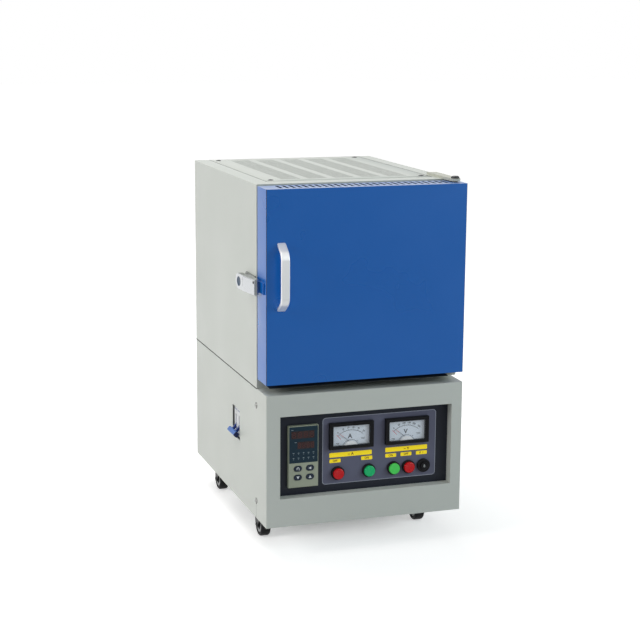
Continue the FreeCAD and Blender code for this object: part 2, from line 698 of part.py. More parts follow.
def casing_side(left):
    # side sheet with a top flange and a joggled ledge that carries the top cover
    outline = [(0, BASE_HEIGHT), (0, TOP), (TOP_FLANGE, TOP), (TOP_FLANGE, TOP - SHEET),
               (TOP_FLANGE + LEDGE, TOP - SHEET), (TOP_FLANGE + LEDGE, TOP - 2 * SHEET),
               (TOP_FLANGE - SHEET, TOP - 2 * SHEET), (TOP_FLANGE - SHEET, TOP - SHEET),
               (SHEET, TOP - SHEET), (SHEET, BASE_HEIGHT)]
    side = front_prism(outline, CASING_SET_BACK, DEPTH)
    front = block(TOP_FLANGE, TOP_FLANGE + LEDGE, CASING_SET_BACK, CASING_SET_BACK + FRONT_FLANGE + LEDGE,
                  TOP - 2 * SHEET, TOP)
    front = front.fuse(block(TOP_FLANGE - SHEET, TOP_FLANGE, CASING_SET_BACK, FRONT_FACE,
                             TOP - 2 * SHEET, TOP - SHEET))
    rear = block(TOP_FLANGE - SHEET, TOP_FLANGE + LEDGE, DEPTH - LEDGE, DEPTH, TOP - 2 * SHEET, TOP - SHEET)
    side = side.cut(front).cut(rear)
    for y in cover_screw_rows():
        side = side.cut(cover_screw_hole(y))
    bend = [edge for edge in side.Edges if all(abs(v.Point.x) < 0.01 and abs(v.Point.z - TOP) < 0.01
                                               for v in edge.Vertexes)]
    side = side.makeFillet(SHEET, bend)
    return side if left else across(side)


def cover_screw_rows():
    first = CASING_SET_BACK + FRONT_FLANGE + COVER_SCREW_INSET + LEDGE
    return [first, DEPTH - SHEET - COVER_SCREW_INSET - LEDGE]


def cover_screw_hole(y):
    x = TOP_FLANGE + COVER_SCREW_INSET
    return rod(SCREW_D + 2 * FIT, at(x, y, TOP - SCREW_LENGTH), at(x, y, TOP))


def casing_rear():
    sheet = block(SHEET, WIDTH - SHEET, DEPTH - SHEET, DEPTH, BASE_HEIGHT, TOP - SHEET)
    lip = block(TOP_FLANGE - SHEET, WIDTH - TOP_FLANGE + SHEET, DEPTH - LEDGE, DEPTH - SHEET,
                TOP - 2 * SHEET, TOP - SHEET)
    edge = block(TOP_FLANGE, WIDTH - TOP_FLANGE, DEPTH - SHEET, DEPTH, TOP - SHEET, TOP)
    return fuse(sheet, lip, edge)


def casing_front():
    plate = block(SHEET, WIDTH - SHEET, CASING_SET_BACK, FRONT_FACE, BASE_HEIGHT, TOP - SHEET)
    mouth = block(CHAMBER_LEFT, CHAMBER_RIGHT, CASING_SET_BACK, FRONT_FACE, CHAMBER_Z, CHAMBER_TOP)
    seam = CASING_SET_BACK + FRONT_FLANGE
    flange = block(TOP_FLANGE, WIDTH - TOP_FLANGE, CASING_SET_BACK, seam, TOP - SHEET, TOP)
    step = block(TOP_FLANGE, WIDTH - TOP_FLANGE, seam - SHEET, seam, TOP - 2 * SHEET, TOP)
    ledge = block(TOP_FLANGE, WIDTH - TOP_FLANGE, seam, seam + LEDGE, TOP - 2 * SHEET, TOP - SHEET)
    return fuse(plate.cut(mouth), flange, step, ledge)


def top_cover():
    # the punched cover: five zones of cross slits, front to back
    front = CASING_SET_BACK + FRONT_FLANGE + SEAM
    rear = DEPTH - SHEET - SEAM
    cover = block(TOP_FLANGE + SEAM, WIDTH - TOP_FLANGE - SEAM, front, rear, TOP - SHEET, TOP)
    zone_front = front + ZONE_START
    count = int((rear - ZONE_END - zone_front) / SLIT_PITCH)
    first = WIDTH / 2 - (ZONES - 1) * ZONE_PITCH / 2
    slits = []
    for zone in range(ZONES):
        x0 = first + zone * ZONE_PITCH - ZONE_WIDTH / 2
        for i in range(count):
            y0 = zone_front + i * SLIT_PITCH
            slits.append(block(x0, x0 + ZONE_WIDTH, y0, y0 + SLIT, TOP - SHEET, TOP))
    cover = cover.cut(Part.makeCompound(slits))
    for y in cover_screw_rows():
        hole = cover_screw_hole(y)
        cover = cover.cut(hole).cut(across(hole))
    return cover


def element_places():
    # (x, y) of the middle of each U, two beside each side wall
    rows = [FRONT_FACE + y for y in ELEMENT_ROWS]
    return [(x, y) for x in (CHAMBER_LEFT + ELEMENT_WALL, CHAMBER_RIGHT - ELEMENT_WALL) for y in rows]


def leg_rows(y):
    return [y - ELEMENT_SPAN / 2, y + ELEMENT_SPAN / 2]


def chamber_boards():
    front, back = FRONT_FACE, BLOCK_BACK
    floor = block(BLOCK_LEFT, BLOCK_RIGHT, front, back, BLOCK_BOTTOM, CHAMBER_Z)
    roof = block(BLOCK_LEFT, BLOCK_RIGHT, front, back, CHAMBER_TOP, ROOF_TOP)
    left = block(BLOCK_LEFT, CHAMBER_LEFT, front, back, CHAMBER_Z, CHAMBER_TOP)
    rear = block(CHAMBER_LEFT, CHAMBER_RIGHT, CHAMBER_BACK, CHAMBER_BACK + REAR_BOARD, CHAMBER_Z, CHAMBER_TOP)
    for x, y in element_places():
        for leg in leg_rows(y):
            hole = rod(ELEMENT_COLD_D + ELEMENT_CLEAR, at(x, leg, CHAMBER_TOP), at(x, leg, ROOF_TOP))
            roof = roof.cut(hole)
    z = CHAMBER_TOP - COUPLE_DROP
    rear = rear.cut(rod(COUPLE_D + 2 * FIT, at(WIDTH / 2, CHAMBER_BACK, z), at(WIDTH / 2, back, z)))
    return [floor, roof, left, across(left), rear]


def hearth_plate():
    x0 = WIDTH / 2 - HEARTH_WIDTH / 2
    y0 = FRONT_FACE + (CHAMBER_DEPTH - HEARTH_DEPTH) * 0.75
    plate = block(x0, x0 + HEARTH_WIDTH, y0, y0 + HEARTH_DEPTH, CHAMBER_Z, CHAMBER_Z + HEARTH_THICK)
    rim = [edge for edge in plate.Edges if all(abs(v.Point.z - CHAMBER_Z - HEARTH_THICK) < 0.01
                                               for v in edge.Vertexes)]
    return plate.makeChamfer(1.0, rim)


def heating_element(x, y):
    # a U of thin hot rod below two thick terminal legs, its bend turned in equal short steps
    neck = CHAMBER_TOP - ELEMENT_NECK
    bend = ELEMENT_SPAN / 2
    low = CHAMBER_Z + ELEMENT_FOOT + bend
    route = [at(x, y - bend, neck)]
    for step in range(ELEMENT_BEND_STEPS + 1):
        turn = math.pi * step / ELEMENT_BEND_STEPS
        route.append(at(x, y - bend * math.cos(turn), low - bend * math.sin(turn)))
    route.append(at(x, y + bend, neck))
    circle = Part.Wire(Part.Circle(route[0], at(0, 0, 1), ELEMENT_HOT_D / 2).toShape())
    hot = Part.makePolygon(route).makePipeShell([circle], True, False, 1)
    legs = [rod(ELEMENT_COLD_D, at(x, leg, neck), at(x, leg, ROOF_TOP + ELEMENT_TOP)) for leg in leg_rows(y)]
    return fuse(hot, *legs)


def element_holder(x, y):
    half_x = ELEMENT_COLD_D / 2 + HOLDER_EDGE
    half_y = ELEMENT_SPAN / 2 + half_x
    low, high = ROOF_TOP, ROOF_TOP + HOLDER_THICK
    holder = block(x - half_x, x + half_x, y - half_y, y + half_y, low, high)
    for leg in leg_rows(y):
        holder = holder.cut(rod(ELEMENT_COLD_D + 2 * FIT, at(x, leg, low), at(x, leg, high)))
    return holder


def strap(x0, y0, x1, y1):
    # flat strap that joins two terminal legs above their holders
    z = ROOF_TOP + HOLDER_THICK + STRAP_LIFT
    half = STRAP_WIDTH / 2
    left, right = min(x0, x1) - half, max(x0, x1) + half
    near, far = min(y0, y1) - half, max(y0, y1) + half
    bar = block(left, right, near, far, z, z + STRAP_THICK)
    for x, y in ((x0, y0), (x1, y1)):
        bar = bar.cut(rod(ELEMENT_COLD_D + 2 * FIT, at(x, y, z), at(x, y, z + STRAP_THICK)))
    return bar


def element_straps():
    places = element_places()
    left, right = places[0][0], places[-1][0]
    near, far = [FRONT_FACE + y for y in ELEMENT_ROWS]
    inner = (leg_rows(near)[1], leg_rows(far)[0])
    back = leg_rows(far)[1]
    return [strap(left, inner[0], left, inner[1]), strap(right, inner[0], right, inner[1]),
            strap(left, back, right, back)]


def thermocouple():
    x, z = WIDTH / 2, CHAMBER_TOP - COUPLE_DROP
    sheath = rod(COUPLE_D, at(x, CHAMBER_BACK - COUPLE_REACH, z), at(x, BLOCK_BACK, z))
    head = rod(COUPLE_HEAD_D, at(x, BLOCK_BACK, z), at(x, BLOCK_BACK + COUPLE_HEAD, z))
    return fuse(sheath, head)


def door_boss(z0, z1):
    return rod(BOSS_D, at(PIVOT_X, PIVOT_Y, z0), at(PIVOT_X, PIVOT_Y, z1))


def door_shell():
    # folded tray, open at the back, with cooling slots in its top and a bored boss at each pivot
    shell = block(0, WIDTH, 0, DOOR_BACK, DOOR_BOTTOM, DOOR_TOP)
    corners = []
    for x in (0, WIDTH):
        for y in (0, DOOR_BACK):
            corners += upright_edges(shell, x, y)
    shell = shell.makeFillet(DOOR_EDGE / 2, corners)
    shell = shell.cut(block(SHEET, WIDTH - SHEET, SHEET, DOOR_BACK, DOOR_BOTTOM + SHEET, DOOR_TOP - SHEET))
    low = door_boss(DOOR_BOTTOM, DOOR_BOTTOM + BOSS_LENGTH)
    high = door_boss(DOOR_TOP - BOSS_LENGTH, DOOR_TOP)
    shell = fuse(shell, low, high)
    first = WIDTH / 2 - (SLOTS - 1) * SLOT_PITCH / 2
    slots = []
    for i in range(SLOTS):
        x0 = first + i * SLOT_PITCH - SLOT_WIDTH / 2
        x1 = x0 + SLOT_WIDTH
        if x1 < PIVOT_X - BOSS_D / 2:
            slots.append(block(x0, x1, SLOT_FRONT, DOOR_BACK - SLOT_REAR, DOOR_TOP - SHEET, DOOR_TOP))
    shell = shell.cut(Part.makeCompound(slots))
    return shell.cut(rod(PIN_D + 2 * FIT, at(PIVOT_X, PIVOT_Y, DOOR_BOTTOM), at(PIVOT_X, PIVOT_Y, DOOR_TOP)))


def plug_square(y, clear):
    x0, x1 = CHAMBER_LEFT + clear, CHAMBER_RIGHT - clear
    z0, z1 = CHAMBER_Z + clear, CHAMBER_TOP - clear
    corners = [at(x0, y, z0), at(x1, y, z0), at(x1, y, z1), at(x0, y, z1), at(x0, y, z0)]
    return Part.makePolygon(corners)


def door_back_plate():
    plate = block(SHEET, WIDTH - SHEET, DOOR_BACK - SHEET, DOOR_BACK, DOOR_BOTTOM + SHEET, DOOR_TOP - SHEET)
    return plate.cut(block(CHAMBER_LEFT + PLUG_BASE_CLEAR, CHAMBER_RIGHT - PLUG_BASE_CLEAR,
                           DOOR_BACK - SHEET, DOOR_BACK,
                           CHAMBER_Z + PLUG_BASE_CLEAR, CHAMBER_TOP - PLUG_BASE_CLEAR))


def door_insulation():
    # fibre board inside the door, with a tapered plug that reaches into the mouth
    back = DOOR_BACK - SHEET
    margin = DOOR_BOARD_MARGIN
    board = block(CHAMBER_LEFT - margin, CHAMBER_RIGHT + margin, back - DOOR_BOARD_THICK, back,
                  CHAMBER_Z - margin, CHAMBER_TOP + margin)
    face = CASING_SET_BACK
    neck = block(CHAMBER_LEFT + PLUG_BASE_CLEAR, CHAMBER_RIGHT - PLUG_BASE_CLEAR, back, face,
                 CHAMBER_Z + PLUG_BASE_CLEAR, CHAMBER_TOP - PLUG_BASE_CLEAR)
    plug = Part.makeLoft([plug_square(face, PLUG_BASE_CLEAR), plug_square(face + PLUG_DEEP, PLUG_TIP_CLEAR)],
                         True, True)
    return fuse(board, neck, plug)


def hinge_brackets():
    # flat arm on the casing's roof, and an angle under the door
    x0, x1 = PIVOT_X - ARM_WIDTH / 2, PIVOT_X + ARM_WIDTH / 2
    arm = block(x0, x1, PIVOT_Y, ARM_REAR, TOP, TOP + ARM_THICK)
    nose = rod(ARM_WIDTH, at(PIVOT_X, PIVOT_Y, TOP), at(PIVOT_X, PIVOT_Y, TOP + ARM_THICK))
    bore = rod(PIN_D + 2 * FIT, at(PIVOT_X, PIVOT_Y, TOP), at(PIVOT_X, PIVOT_Y, TOP + ARM_THICK))
    arm = fuse(arm, nose).cut(bore)
    shelf_top = DOOR_BOTTOM - COLLAR - 0.3
    shelf = block(x0, x1, PIVOT_Y, CASING_SET_BACK, shelf_top - ARM_THICK, shelf_top)
    tab = block(x0, x1, CASING_SET_BACK - ARM_THICK, CASING_SET_BACK, BASE_HEIGHT, shelf_top)
    tip = rod(ARM_WIDTH, at(PIVOT_X, PIVOT_Y, shelf_top - ARM_THICK), at(PIVOT_X, PIVOT_Y, shelf_top))
    low = fuse(shelf, tab, tip)
    hole = rod(PIN_D + 2 * FIT, at(PIVOT_X, PIVOT_Y, BASE_HEIGHT), at(PIVOT_X, PIVOT_Y, shelf_top))
    return [arm, low.cut(hole)]


def pivot_pins():
    # the door's upper and lower pins and the latch pin
    top = rod(PIN_D, at(PIVOT_X, PIVOT_Y, DOOR_TOP - BOSS_LENGTH + 1), at(PIVOT_X, PIVOT_Y, TOP + ARM_THICK))
    head_base = TOP + ARM_THICK
    head = rod(PIN_HEAD_D, at(PIVOT_X, PIVOT_Y, head_base), at(PIVOT_X, PIVOT_Y, head_base + PIN_HEAD))
    rim = [edge for edge in head.Edges if edge.Closed and edge.Vertexes[0].Point.z > head_base + 1]
    head = head.makeChamfer(PIN_HEAD / 2, rim)
    shelf_top = DOOR_BOTTOM - COLLAR - 0.3
    low = rod(PIN_D, at(PIVOT_X, PIVOT_Y, shelf_top - ARM_THICK),
              at(PIVOT_X, PIVOT_Y, DOOR_BOTTOM + BOSS_LENGTH - 1))
    collar = rod(BOSS_D, at(PIVOT_X, PIVOT_Y, shelf_top), at(PIVOT_X, PIVOT_Y, shelf_top + COLLAR))
    latch = rod(LATCH_PIN_D, at(-LATCH_PIVOT_OUT, LATCH_PIVOT_Y, LATCH_BOTTOM),
                at(-LATCH_PIVOT_OUT, LATCH_PIVOT_Y, LATCH_BOTTOM + LATCH_TALL))
    return [fuse(top, head), fuse(low, collar), latch]


def handle_outline(inset):
    # (y, z) corners of the bow, set in by the bar's thickness for its inner side
    slope = math.hypot(HANDLE_STAND, HANDLE_SLOPE)
    shift = inset * slope / HANDLE_STAND
    bend = inset * (slope - HANDLE_SLOPE) / HANDLE_STAND
    low, high = HANDLE_BOTTOM, HANDLE_BOTTOM + HANDLE_LENGTH
    out = -HANDLE_STAND + inset
    rise = HANDLE_SLOPE + bend
    return [(0, low + shift), (out, low + rise), (out, high - rise), (0, high - shift)]


def bend_edges(shape, corners):
    found = []
    for edge in shape.Edges:
        ends = [vertex.Point for vertex in edge.Vertexes]
        for y, z in corners:
            if len(ends) == 2 and all(abs(p.y - y) < 0.01 and abs(p.z - z) < 0.01 for p in ends):
                found.append(edge)
    return found


def door_handle():
    # a flat bar bent to a bow, its two ends cut flush with the door
    x0, x1 = HANDLE_LEFT, HANDLE_LEFT + HANDLE_WIDTH
    outer = side_prism(handle_outline(0), x0, x1)
    outer = outer.makeFillet(HANDLE_BEND, bend_edges(outer, handle_outline(0)[1:3]))
    inner = side_prism(handle_outline(HANDLE_STRIP), x0, x1)
    inner = inner.makeFillet(HANDLE_BEND - HANDLE_STRIP, bend_edges(inner, handle_outline(HANDLE_STRIP)[1:3]))
    return outer.cut(inner)


def latch_base():
    # plate on the casing with the knuckle that holds the lever's pin and the spring housing behind it
    z0, z1 = LATCH_BOTTOM, LATCH_BOTTOM + LATCH_TALL
    plate = block(-LATCH_PLATE, 0, CASING_SET_BACK + 4, LATCH_REAR + 2, z0, z1)
    inner0, inner1 = z0 + LATCH_WALL + LATCH_RUN, z1 - LATCH_WALL - LATCH_RUN
    half = LATCH_BARREL - LATCH_WALL + 0.6
    x, y = -LATCH_PIVOT_OUT, LATCH_PIVOT_Y
    knuckle = block(x, -LATCH_PLATE, y - half, y + half, inner0, inner1)
    barrel = rod(2 * half, at(x, y, inner0), at(x, y, inner1))
    housing = block(-LATCH_PLATE - SPRING_HOUSING, -LATCH_PLATE, y + LATCH_BARREL + 0.6, LATCH_REAR - 1,
                    inner0, inner1)
    crown = [edge for edge in housing.Edges if all(v.Point.x < -LATCH_PLATE - 1 for v in edge.Vertexes)]
    body = fuse(plate, knuckle, barrel, housing.makeChamfer(1.5, crown))
    return body.cut(rod(LATCH_PIN_D + 2 * FIT, at(x, y, z0), at(x, y, z1)))


def latch_plan(wall):
    # plan outline of the lever from its finger tab to its nose, set in by the wall for its hollow
    nose = (-LATCH_NOSE_OUT + wall, LATCH_FRONT + wall)
    crest = (-LATCH_CREST_OUT + wall, LATCH_CREST_Y)
    tab = (-LATCH_PROUD + wall, LATCH_REAR)
    inside = -LATCH_PLATE - LATCH_RUN
    return [tab, crest, nose, (inside, LATCH_FRONT + wall), (inside, LATCH_REAR)]


def latch_lever():
    # hollow wedge with two flanges over the knuckle, a lip in front of the keeper and a round
    # finger tab with an eye behind the pin
    z0, z1 = LATCH_BOTTOM, LATCH_BOTTOM + LATCH_TALL
    middle = (z0 + z1) / 2
    shell = plan_prism(latch_plan(0), z0, z1)
    hollow = plan_prism(latch_plan(LATCH_WALL), z0 + LATCH_WALL, z1 - LATCH_WALL)
    tab, crest = latch_plan(LATCH_WALL)[:2]
    lean = (tab[0] - crest[0]) / (tab[1] - crest[1])
    start = crest[0] + lean * (LATCH_PIVOT_Y - LATCH_CREST_Y)
    behind = plan_prism([(start, LATCH_PIVOT_Y), (tab[0] + lean, LATCH_REAR + 1), (0, LATCH_REAR + 1),
                         (0, LATCH_PIVOT_Y)], z0, z1)
    lip = block(-KEEPER_RIDGE_OUT - LATCH_RUN, 0, 0, LATCH_FRONT + 2 * LATCH_WALL, z0, z1)
    lever = shell.cut(hollow).cut(behind).cut(lip)
    for z in (z0, z1 - LATCH_WALL):
        lever = lever.fuse(rod(2 * LATCH_BARREL, at(-LATCH_PIVOT_OUT, LATCH_PIVOT_Y, z),
                               at(-LATCH_PIVOT_OUT, LATCH_PIVOT_Y, z + LATCH_WALL)))
    radius = LATCH_TALL / 2
    end_y = LATCH_REAR - radius
    round_end = fuse(block(-LATCH_PROUD - 1, 0, 0, end_y, z0, z1),
                     rod(LATCH_TALL, at(-LATCH_PROUD - 1, end_y, middle), at(0, end_y, middle)))
    lever = fuse(lever).common(round_end)
    lever = lever.cut(rod(LATCH_EYE_D, at(-LATCH_PROUD - 1, LATCH_EYE_Y, middle), at(0, LATCH_EYE_Y, middle)))
    return lever.cut(rod(LATCH_PIN_D + 2 * FIT, at(-LATCH_PIVOT_OUT, LATCH_PIVOT_Y, z0),
                         at(-LATCH_PIVOT_OUT, LATCH_PIVOT_Y, z1)))


def latch_keeper():
    z0 = LATCH_BOTTOM + KEEPER_END
    z1 = LATCH_BOTTOM + LATCH_TALL - KEEPER_END
    plate = block(-KEEPER_PLATE, 0, KEEPER_FRONT, KEEPER_REAR, z0, z1)
    foot, crown = KEEPER_RIDGE / 2, KEEPER_RIDGE / 4
    ridge = plan_prism([(-KEEPER_PLATE, KEEPER_RIDGE_Y - foot), (-KEEPER_RIDGE_OUT, KEEPER_RIDGE_Y - crown),
                        (-KEEPER_RIDGE_OUT, KEEPER_RIDGE_Y + crown), (-KEEPER_PLATE, KEEPER_RIDGE_Y + foot)],
                       z0, z1)
    return fuse(plate, ridge)


def caster_place(front, left):
    x = CASTER_INSET_X if left else WIDTH - CASTER_INSET_X
    return x, CASTER_FRONT if front else CASTER_REAR


def caster_plate(x, y):
    half = CASTER_PLATE / 2
    plate = block(x - half, x + half, y - half, y + half, -CASTER_PLATE_THICK, 0)
    corners = []
    for sx in (-1, 1):
        for sy in (-1, 1):
            corners += upright_edges(plate, x + sx * half, y + sy * half)
    plate = plate.makeFillet(4, corners)
    fork_web = CASTER_PLATE_THICK + RACE_GAP + RACE_HEIGHT + FORK_SHEET
    pin = rod(KINGPIN_D, at(x, y, -fork_web - RACE_GAP), at(x, y, -CASTER_PLATE_THICK))
    head = rod(KINGPIN_D + 4, at(x, y, -fork_web - RACE_GAP - 1.4), at(x, y, -fork_web - RACE_GAP))
    return fuse(plate, pin, head)


def axle_z():
    return WHEEL_D / 2 - CASTER_HEIGHT


def caster_fork(x, y, braked):
    race_top = -CASTER_PLATE_THICK - RACE_GAP
    web_top = race_top - RACE_HEIGHT
    web_low = web_top - FORK_SHEET
    inner = WHEEL_WIDTH / 2 + FORK_SIDE_GAP
    outer = inner + FORK_SHEET
    race = rod(RACE_D, at(x, y, web_top), at(x, y, race_top))
    rim = [edge for edge in race.Edges if edge.Closed and edge.Vertexes[0].Point.z > race_top - 0.1]
    race = race.makeChamfer(1.5, rim)
    web = block(x - outer, x + outer, y - FORK_HALF, y + FORK_HALF, web_low, web_top)
    parts = [race, web]
    tail = y + PEDAL_PIN_Y + 4 if braked else y + FORK_HALF
    for side in (-1, 1):
        x0, x1 = sorted((x + side * inner, x + side * outer))
        corners = [(y - FORK_HALF, web_top), (y + FORK_HALF, web_top),
                   (tail, web_low - 1), (tail, web_low - 6),
                   (y + TRAIL + AXLE_D, axle_z()), (y + TRAIL - AXLE_D, axle_z())]
        parts.append(side_prism(corners, x0, x1))
        parts.append(rod(2 * AXLE_D, at(x0, y + TRAIL, axle_z()), at(x1, y + TRAIL, axle_z())))
    axle = rod(AXLE_D, at(x - outer - 1, y + TRAIL, axle_z()), at(x + outer + 1, y + TRAIL, axle_z()))
    parts.append(axle)
    if braked:
        z = -PEDAL_PIN_DROP
        parts.append(rod(PEDAL_PIN_D, at(x - outer, y + PEDAL_PIN_Y, z), at(x + outer, y + PEDAL_PIN_Y, z)))
    fork = fuse(*parts)
    return fork.cut(rod(KINGPIN_D + 2 * FIT, at(x, y, web_low), at(x, y, race_top)))


def caster_wheel(x, y):
    # tyre with bevelled shoulders, a sunk side face and a bored hub
    z = axle_z()
    half = WHEEL_WIDTH / 2
    wheel = rod(WHEEL_D, at(x - half, y + TRAIL, z), at(x + half, y + TRAIL, z))
    rims = [edge for edge in wheel.Edges if edge.Closed and edge.Length > WHEEL_D]
    wheel = wheel.makeChamfer(WHEEL_EDGE, rims)
    for side in (-1, 1):
        face, floor = x + side * half, x + side * (half - WHEEL_SINK)
        groove = rod(WHEEL_D - 2 * TYRE_THICK, at(face, y + TRAIL, z), at(floor, y + TRAIL, z))
        hub = rod(2 * AXLE_D, at(face, y + TRAIL, z), at(floor, y + TRAIL, z))
        wheel = wheel.cut(groove.cut(hub))
    return wheel.cut(rod(AXLE_D + 2 * FIT, at(x - half, y + TRAIL, z), at(x + half, y + TRAIL, z)))


def brake_pedal(x, y):
    # stamped lever on a cross pin behind the wheel, at rest in the raised position
    py, pz = y + PEDAL_PIN_Y, -PEDAL_PIN_DROP
    half = PEDAL_WIDTH / 2
    plate = block(x - half, x + half, py, py + PEDAL_LENGTH, pz - PEDAL_SHEET / 2, pz + PEDAL_SHEET / 2)
    barrel = rod(PEDAL_PIN_D + 2.4, at(x - half, py, pz), at(x + half, py, pz))
    lip = block(x - half, x + half, py + PEDAL_LENGTH - PEDAL_SHEET, py + PEDAL_LENGTH,
                pz - 2 * PEDAL_SHEET, pz + PEDAL_SHEET / 2)
    bore = rod(PEDAL_PIN_D + 2 * FIT, at(x - half, py, pz), at(x + half, py, pz))
    pedal = fuse(plate, barrel, lip).cut(bore)
    pedal.rotate(at(x, py, pz), at(1, 0, 0), -PEDAL_DROP)
    return pedal


def screw(seat, outward):
    # domed head on its seat, with a plain shank through the sheet
    head = rod(SCREW_HEAD_D, seat, seat + outward * SCREW_HEAD)
    tip = seat + outward * SCREW_HEAD
    rim = [edge for edge in head.Edges
           if edge.Closed and abs((edge.Vertexes[0].Point - tip).dot(outward)) < 0.01]
    head = head.makeChamfer(SCREW_HEAD * 0.6, rim)
    return fuse(head, rod(SCREW_D, seat - outward * SCREW_LENGTH, seat))


def panel_screws():
    screws = []
    for z in (SCREW_LOW, SCREW_HIGH):
        screws.append(screw(at(0, SCREW_Y, z), at(-1, 0, 0)))
        screws.append(screw(at(WIDTH, SCREW_Y, z), at(1, 0, 0)))
    for y in cover_screw_rows():
        for x in (TOP_FLANGE + COVER_SCREW_INSET, WIDTH - TOP_FLANGE - COVER_SCREW_INSET):
            screws.append(screw(at(x, y, TOP), at(0, 0, 1)))
    return screws


def cable_gland():
    inside = DEPTH - SHEET
    seat = at(GLAND_X, DEPTH, GLAND_Z)
    hexagon = []
    for i in range(6):
        angle = math.radians(60 * i)
        radius = GLAND_HEX / 2 / math.cos(math.radians(30))
        hexagon.append((GLAND_X + radius * math.cos(angle), GLAND_Z + radius * math.sin(angle)))
    nut = front_prism(hexagon, DEPTH, DEPTH + GLAND_REACH / 3)
    cap = rod(GLAND_HEX - 2, seat, at(GLAND_X, DEPTH + GLAND_REACH, GLAND_Z))
    rim = [edge for edge in cap.Edges if edge.Closed and edge.Vertexes[0].Point.y > DEPTH + 1]
    cap = cap.makeChamfer(GLAND_REACH / 8, rim)
    thread = rod(GLAND_D, at(GLAND_X, inside - GLAND_INNER, GLAND_Z), seat)
    lock = front_prism(hexagon, inside - GLAND_INNER / 2, inside)
    bore = rod(GLAND_BORE, at(GLAND_X, inside - GLAND_INNER, GLAND_Z),
               at(GLAND_X, DEPTH + GLAND_REACH, GLAND_Z))
    return fuse(nut, cap, thread, lock).cut(bore)


def build():
    os.makedirs("parts", exist_ok=True)
    save("base_frame", base_frame())
    save("base_left_panel", base_side(True))
    save("base_right_panel", base_side(False))
    save("base_rear_panel", base_rear())
    save("base_deck", base_deck())
    save("front_fascia", front_fascia())
    save("control_panel", control_panel())
    save("controller_body", controller_body())
    meters = (AMMETER_LEFT, VOLTMETER_LEFT)
    save("meter_cases", *[meter_case(left) for left in meters])
    save("meter_dials", *[meter_dial(left) for left in meters], *[hub_cover(left) for left in meters])
    save("meter_windows", *[meter_glass(left) for left in meters])
    save("ammeter_needle", needle(AMMETER_LEFT))
    save("voltmeter_needle", needle(VOLTMETER_LEFT))
    bodies = [switch_body(x, CAP_D, button_sink()) for x in BUTTON_X]
    save("switch_bodies", *bodies, switch_body(KEY_SWITCH_X, ROTOR_D, CAP_SKIRT + 2 * FIT))
    names = ("heat_off_button", "heat_on_button", "power_on_button", "power_off_button")
    for name, x in zip(names, BUTTON_X):
        save(name, push_button(x))
    save("key_rotor", key_rotor())
    save("key_set", controller_key(0, 1))
    save("key_shift", controller_key(1, 1))
    save("key_down", controller_key(0, 0))
    save("key_up", controller_key(1, 0))
    save("circuit_breaker", *circuit_breaker())
    save("breaker_toggle", breaker_toggle())
    save("transformer", *transformer())
    save("power_controller", *power_controller())
    save("casing_left_side", casing_side(True))
    save("casing_right_side", casing_side(False))
    save("casing_rear", casing_rear())
    save("casing_front_frame", casing_front())
    save("top_cover", top_cover())
    save("chamber_boards", *chamber_boards())
    save("hearth_plate", hearth_plate())
    save("heating_elements", *[heating_element(x, y) for x, y in element_places()])
    save("element_holders", *[element_holder(x, y) for x, y in element_places()])
    save("element_straps", *element_straps())
    save("thermocouple", thermocouple())
    save("door_shell", door_shell())
    save("door_back_plate", door_back_plate())
    save("door_insulation", door_insulation())
    save("door_handle", door_handle())
    save("latch_keeper", latch_keeper())
    save("latch_base", latch_base())
    save("latch_lever", latch_lever())
    save("hinge_brackets", *hinge_brackets())
    save("pivot_pins", *pivot_pins())
    save("panel_screws", *panel_screws())
    save("cable_gland", cable_gland())
    plates = []
    for front in (True, False):
        for left in (True, False):
            x, y = caster_place(front, left)
            place = ("front" if front else "rear") + ("_left" if left else "_right")
            plates.append(caster_plate(x, y))
            save("caster_fork_" + place, caster_fork(x, y, front))
            save("caster_wheel_" + place, caster_wheel(x, y))
            if front:
                save("brake_pedal_" + place, brake_pedal(x, y))
    save("caster_plates", *plates)


build()
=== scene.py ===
import json
import math

import bmesh
import bpy
from mathutils import Matrix, Vector


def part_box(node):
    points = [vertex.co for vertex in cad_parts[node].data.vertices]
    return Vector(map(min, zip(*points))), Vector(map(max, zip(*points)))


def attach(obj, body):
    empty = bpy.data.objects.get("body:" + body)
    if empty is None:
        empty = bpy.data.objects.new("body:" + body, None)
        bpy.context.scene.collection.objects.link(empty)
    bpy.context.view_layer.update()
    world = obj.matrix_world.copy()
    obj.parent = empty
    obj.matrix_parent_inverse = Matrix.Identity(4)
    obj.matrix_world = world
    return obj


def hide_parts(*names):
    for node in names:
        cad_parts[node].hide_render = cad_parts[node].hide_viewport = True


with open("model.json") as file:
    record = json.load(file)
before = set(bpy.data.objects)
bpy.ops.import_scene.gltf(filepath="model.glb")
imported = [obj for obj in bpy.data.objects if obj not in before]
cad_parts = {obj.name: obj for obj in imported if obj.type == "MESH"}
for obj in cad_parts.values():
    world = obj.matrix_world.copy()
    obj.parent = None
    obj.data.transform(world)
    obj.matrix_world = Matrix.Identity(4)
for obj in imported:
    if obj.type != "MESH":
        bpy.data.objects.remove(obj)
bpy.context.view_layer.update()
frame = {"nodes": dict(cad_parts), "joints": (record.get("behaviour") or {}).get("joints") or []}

# The furnace stands on a pale floor under soft studio light, seen from the front left and a
# little above, as in the photograph. Lengths are metres, written in millimetres with MM.
MM = 0.001
CAMERA_AT = Vector((-13.6, -54.5, 335.8)) * MM
CAMERA_DISTANCE = 2477.6 * MM
CAMERA_AZIMUTH, CAMERA_ELEVATION, CAMERA_ROLL = -18.623, 11.538, 0.419
CAMERA_LENS = 86.45
# The floor's glow is zero inside the foot's outline less these insets and rises outside it: a painted shadow
# under the object.
FOOT_INSET_X, FOOT_INSET_Y = 120 * MM, 190 * MM
NEAR_RISE, FAR_RISE = (0.0, 0.12), (0.3, 2.2)
DARK_FRONT, WHITE_BACK = -0.8, -0.3


